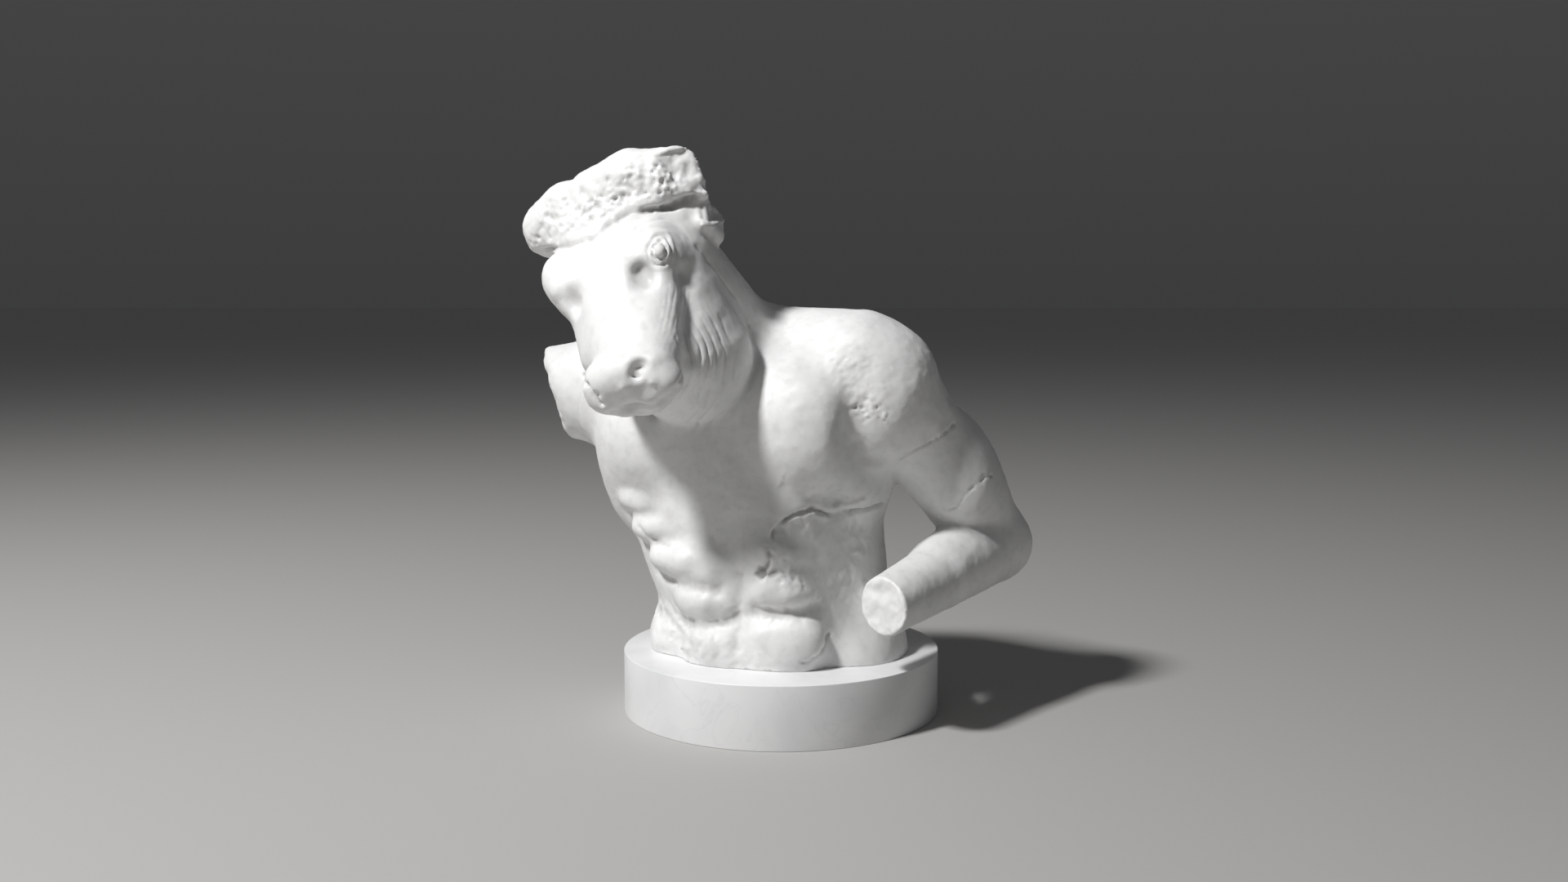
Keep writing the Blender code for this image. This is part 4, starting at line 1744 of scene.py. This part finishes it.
@dataclass(frozen=True)
class Tint:
    """A colour laid over another where a pattern is strong.

    Its strength goes from at_low to at_high as the pattern goes from low to high, and stays there.
    """

    low: float
    high: float
    at_high: float
    at_low: float = 0.0

    def over(
        self, tree: bpy.types.NodeTree, pattern: object, below: object, above: str
    ) -> bpy.types.NodeSocket:
        """Lays the colour.

        Args:
            tree: the material's nodes.
            pattern: the socket that says where.
            below: the colour under it, a value or a socket.
            above: the colour that is laid, an sRGB hex value.

        Returns:
            The mixed colour.
        """
        inputs = (pattern, self.low, self.high, self.at_low, self.at_high)
        share = add(tree, "ShaderNodeMapRange", inputs).outputs[0]
        mix = add(tree, "ShaderNodeMix", {0: share, 6: below, 7: linear(above)}, data_type="RGBA")
        return mix.outputs[2]


@dataclass(frozen=True)
class Marble:
    """What both marbles have: patterns of noise, some wear, and calcite's index of refraction."""

    name: str
    stone: str
    # Each pattern's width in millimetres, its detail and its distortion.
    patterns: tuple[Point, ...]
    # From and to, over the same part of a pattern.
    roughness: Spot
    worn_over: Spot = (0.3, 0.7)
    ior: float = 1.49

    def start(self) -> tuple[bpy.types.Material, bpy.types.Node, list[bpy.types.NodeSocket]]:
        """Makes the material.

        Returns:
            The material, its shader, and a socket for each of its patterns.
        """
        material = bpy.data.materials.new(self.name)
        material.use_nodes = True
        tree = material.node_tree
        shader = tree.nodes["Principled BSDF"]
        shader.inputs["IOR"].default_value = self.ior
        where = add(tree, "ShaderNodeTexCoord").outputs["Object"]
        sockets = []
        for width, detail, distortion in self.patterns:
            inputs = {"Vector": where, "Scale": per_metre(width)}
            inputs |= {"Detail": detail, "Distortion": distortion}
            sockets.append(add(tree, "ShaderNodeTexNoise", inputs).outputs["Fac"])
        return material, shader, sockets

    def wear(self, tree: bpy.types.NodeTree, shader: bpy.types.Node, pattern: bpy.types.NodeSocket) -> None:
        """Makes the stone rougher where a pattern is strong."""
        worn = add(tree, "ShaderNodeMapRange", (pattern, *self.worn_over, *self.roughness)).outputs[0]
        tree.links.new(worn, shader.inputs["Roughness"])


@dataclass(frozen=True)
class CarvedMarble(Marble):
    """Fine white statuary marble, carved and rubbed smooth, then weathered for centuries.

    To the eye: an even white with hardly a vein, a shade greyer where the crust has worn thin, faint grey
    dust spots, painted grey shade in the hollows, and whiter sugar-like grains where it is freshly broken.
    """

    name: str = "carved_marble"
    stone: str = "#ececeb"
    weathered: str = "#e0e0df"
    # Grey of the random dust spots, and of the painted shade laid in the hollows.
    dust_and_shade: str = "#8e8d8b"
    fresh: str = "#f3f3f2"
    # Clouds, mottling and crystals. The crystals are under half a millimetre, and are drawn at 1.6 so
    # that they show.
    patterns: tuple[Point, ...] = ((70.0, 4.0, 0.0), (14.0, 5.0, 0.0), (1.6, 2.0, 0.0))
    roughness: Spot = (0.44, 0.62)
    clouded: Tint = Tint(0.38, 0.66, 1.0)
    spotted: Tint = Tint(0.50, 0.72, 0.13)
    # The hollows' painted shade, over parts below the surroundings, and the fresh stone's white, over how
    # freshly broken.
    hollow_shade: Tint = Tint(0.7, 5.0, 0.75)
    broken: Tint = Tint(0.2, 1.0, 0.35)
    # Strength and height in metres of the crystals' relief and of the mottling's.
    crystal_bump: Spot = (0.12, 0.0006)
    mottle_bump: Spot = (0.25, 0.0012)
    # How much light enters the stone, how far in metres, and the share of it for each colour.
    glow: float = 0.05
    glow_depth: float = 0.003
    glow_colour: Point = (1.0, 0.9, 0.8)

    def make(self) -> bpy.types.Material:
        """Makes the finish.

        Returns:
            The material.
        """
        material, shader, (clouds, mottle, crystals) = self.start()
        tree = material.node_tree
        hollow = add(tree, "ShaderNodeAttribute", attribute_name="hollow").outputs["Fac"]
        broken = add(tree, "ShaderNodeAttribute", attribute_name="broken").outputs["Fac"]
        colour = self.clouded.over(tree, clouds, linear(self.stone), self.weathered)
        colour = self.spotted.over(tree, mottle, colour, self.dust_and_shade)
        # Painted shade: the hollows are darkened grey, the more the deeper they lie below their
        # surroundings.
        colour = self.hollow_shade.over(tree, hollow, colour, self.dust_and_shade)
        colour = self.broken.over(tree, broken, colour, self.fresh)
        tree.links.new(colour, shader.inputs["Base Color"])
        self.wear(tree, shader, mottle)
        normal = {}
        for height, (strength, distance) in ((crystals, self.crystal_bump), (mottle, self.mottle_bump)):
            inputs = {"Height": height, "Strength": strength, "Distance": distance, **normal}
            normal = {"Normal": add(tree, "ShaderNodeBump", inputs).outputs[0]}
        tree.links.new(normal["Normal"], shader.inputs["Normal"])
        shader.inputs["Subsurface Weight"].default_value = self.glow
        shader.inputs["Subsurface Radius"].default_value = self.glow_colour
        shader.inputs["Subsurface Scale"].default_value = self.glow_depth
        return material


@dataclass(frozen=True)
class HonedMarble(Marble):
    """New white marble, turned and honed: smoother than the figure, with faint grey clouds and veins."""

    name: str = "honed_marble"
    stone: str = "#ececec"
    cloud: str = "#e0e1e1"
    vein: str = "#cfd1d2"
    # Clouds, veins and honing marks. The marks are finer than can be seen, and are drawn at 0.9.
    patterns: tuple[Point, ...] = ((110.0, 5.0, 0.6), (160.0, 7.0, 1.4), (0.9, 1.0, 0.0))
    roughness: Spot = (0.30, 0.40)
    clouded: Tint = Tint(0.42, 0.70, 1.0)
    # A vein lies where its noise is near the middle, and is strongest there.
    vein_middle: float = 0.5
    veined: Tint = Tint(0.0, 0.012, 0.0, at_low=0.22)
    bump: Spot = (0.05, 0.0003)

    def make(self) -> bpy.types.Material:
        """Makes the finish.

        Returns:
            The material.
        """
        material, shader, (clouds, veins, marks) = self.start()
        tree = material.node_tree
        colour = self.clouded.over(tree, clouds, linear(self.stone), self.cloud)
        middle = add(tree, "ShaderNodeMath", (veins, self.vein_middle), operation="SUBTRACT").outputs[0]
        away = add(tree, "ShaderNodeMath", (middle,), operation="ABSOLUTE").outputs[0]
        colour = self.veined.over(tree, away, colour, self.vein)
        tree.links.new(colour, shader.inputs["Base Color"])
        self.wear(tree, shader, clouds)
        bump = {"Height": marks, "Strength": self.bump[0], "Distance": self.bump[1]}
        tree.links.new(add(tree, "ShaderNodeBump", bump).outputs[0], shader.inputs["Normal"])
        return material


@dataclass(frozen=True)
class PaintedFloor:
    """A plain pale painted floor, matt, so that only the soft shadow marks it."""

    paint: str = "#b2b1af"
    roughness: float = 0.8

    def make(self) -> bpy.types.Material:
        """Makes the finish.

        Returns:
            The material.
        """
        material = bpy.data.materials.new("painted_floor")
        material.use_nodes = True
        shader = material.node_tree.nodes["Principled BSDF"]
        shader.inputs["Base Color"].default_value = linear(self.paint)
        shader.inputs["Roughness"].default_value = self.roughness
        return material


@dataclass(frozen=True)
class Studio:
    """The floor, the soft light from the upper left and the camera."""

    eye: Standpoint
    part: float
    floor_size: float = 200.0
    key_from: Point = (-0.52, -0.42, 0.74)
    key_distance: float = 5.2
    key_size: float = 0.6
    key_watts: float = 300.0
    sky: str = "#f4f5f7"
    # The sky's strength at the horizon, where it meets the floor, and overhead.
    sky_strength: Spot = (0.05, 0.12)
    aim: Point = (0.0, 0.0, 0.45)

    def build(self) -> None:
        """Sets the floor, the world, the light and the camera."""
        self.floor()
        self.world()
        self.light()
        self.camera()

    def floor(self) -> None:
        """The floor, at the plinth's underside."""
        half = self.floor_size / 2
        mesh = bpy.data.meshes.new("floor")
        corners = [(-half, -half, 0.0), (half, -half, 0.0), (half, half, 0.0), (-half, half, 0.0)]
        mesh.from_pydata(corners, [], [(0, 1, 2, 3)])
        mesh.materials.append(PaintedFloor().make())
        floor = new_object("floor", mesh)

    def world(self) -> None:
        """A dim even sky, so that the shadows aren't black, shown without any change of contrast."""
        world = bpy.data.worlds.new("studio")
        world.use_nodes = True
        tree = world.node_tree
        direction = add(tree, "ShaderNodeTexCoord").outputs["Generated"]
        height = add(tree, "ShaderNodeSeparateXYZ", (direction,)).outputs[2]
        sky = tree.nodes["Background"]
        sky.inputs["Color"].default_value = linear(self.sky)
        strength = add(tree, "ShaderNodeMapRange", (height, 0.0, 1.0, *self.sky_strength)).outputs[0]
        tree.links.new(strength, sky.inputs["Strength"])
        bpy.context.scene.world = world
        bpy.context.scene.view_settings.view_transform = "Standard"

    def light(self) -> None:
        """The square soft key light, which faces the statue."""
        aim = Vector(self.aim)
        place = aim + Vector(self.key_from).normalized() * self.key_distance
        data = bpy.data.lights.new("key", "AREA")
        data.size = self.key_size
        data.energy = self.key_watts
        lamp = new_object("key", data)
        lamp.location = place
        lamp.rotation_euler = (aim - place).to_track_quat("-Z", "Y").to_euler()

    def camera(self) -> None:
        """The camera at the photograph's angle and distance."""
        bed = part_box(FIGURE_NODE)[0][2]
        data = bpy.data.cameras.new("camera")
        data.lens = self.eye.lens
        data.sensor_width = self.eye.sensor
        camera = new_object("camera", data)
        camera.location = Vector(self.eye.place) * self.part + Vector((0.0, 0.0, bed))
        camera.rotation_euler = (math.radians(90 - self.eye.look_down), 0.0, 0.0)
        bpy.context.scene.camera = camera


def main() -> None:
    """Builds the figure, the plinth and the studio, and ties each piece to the frame."""
    logging.basicConfig(level=logging.INFO, format="%(message)s")
    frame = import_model()
    LOG.info("frame: %s", ", ".join(sorted(frame["nodes"])))
    eye = Standpoint()
    figure, part = Figure(eye).build()
    figure.data.materials.append(CarvedMarble().make())
    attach(figure, "root")
    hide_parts(FIGURE_NODE)
    plinth = Plinth().build()
    plinth.data.materials.append(HonedMarble().make())
    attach(plinth, "root")
    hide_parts(PLINTH_NODE)
    LOG.info("plinth: %d faces", len(plinth.data.polygons))
    Studio(eye, part).build()


if __name__ == "__main__":
    main()
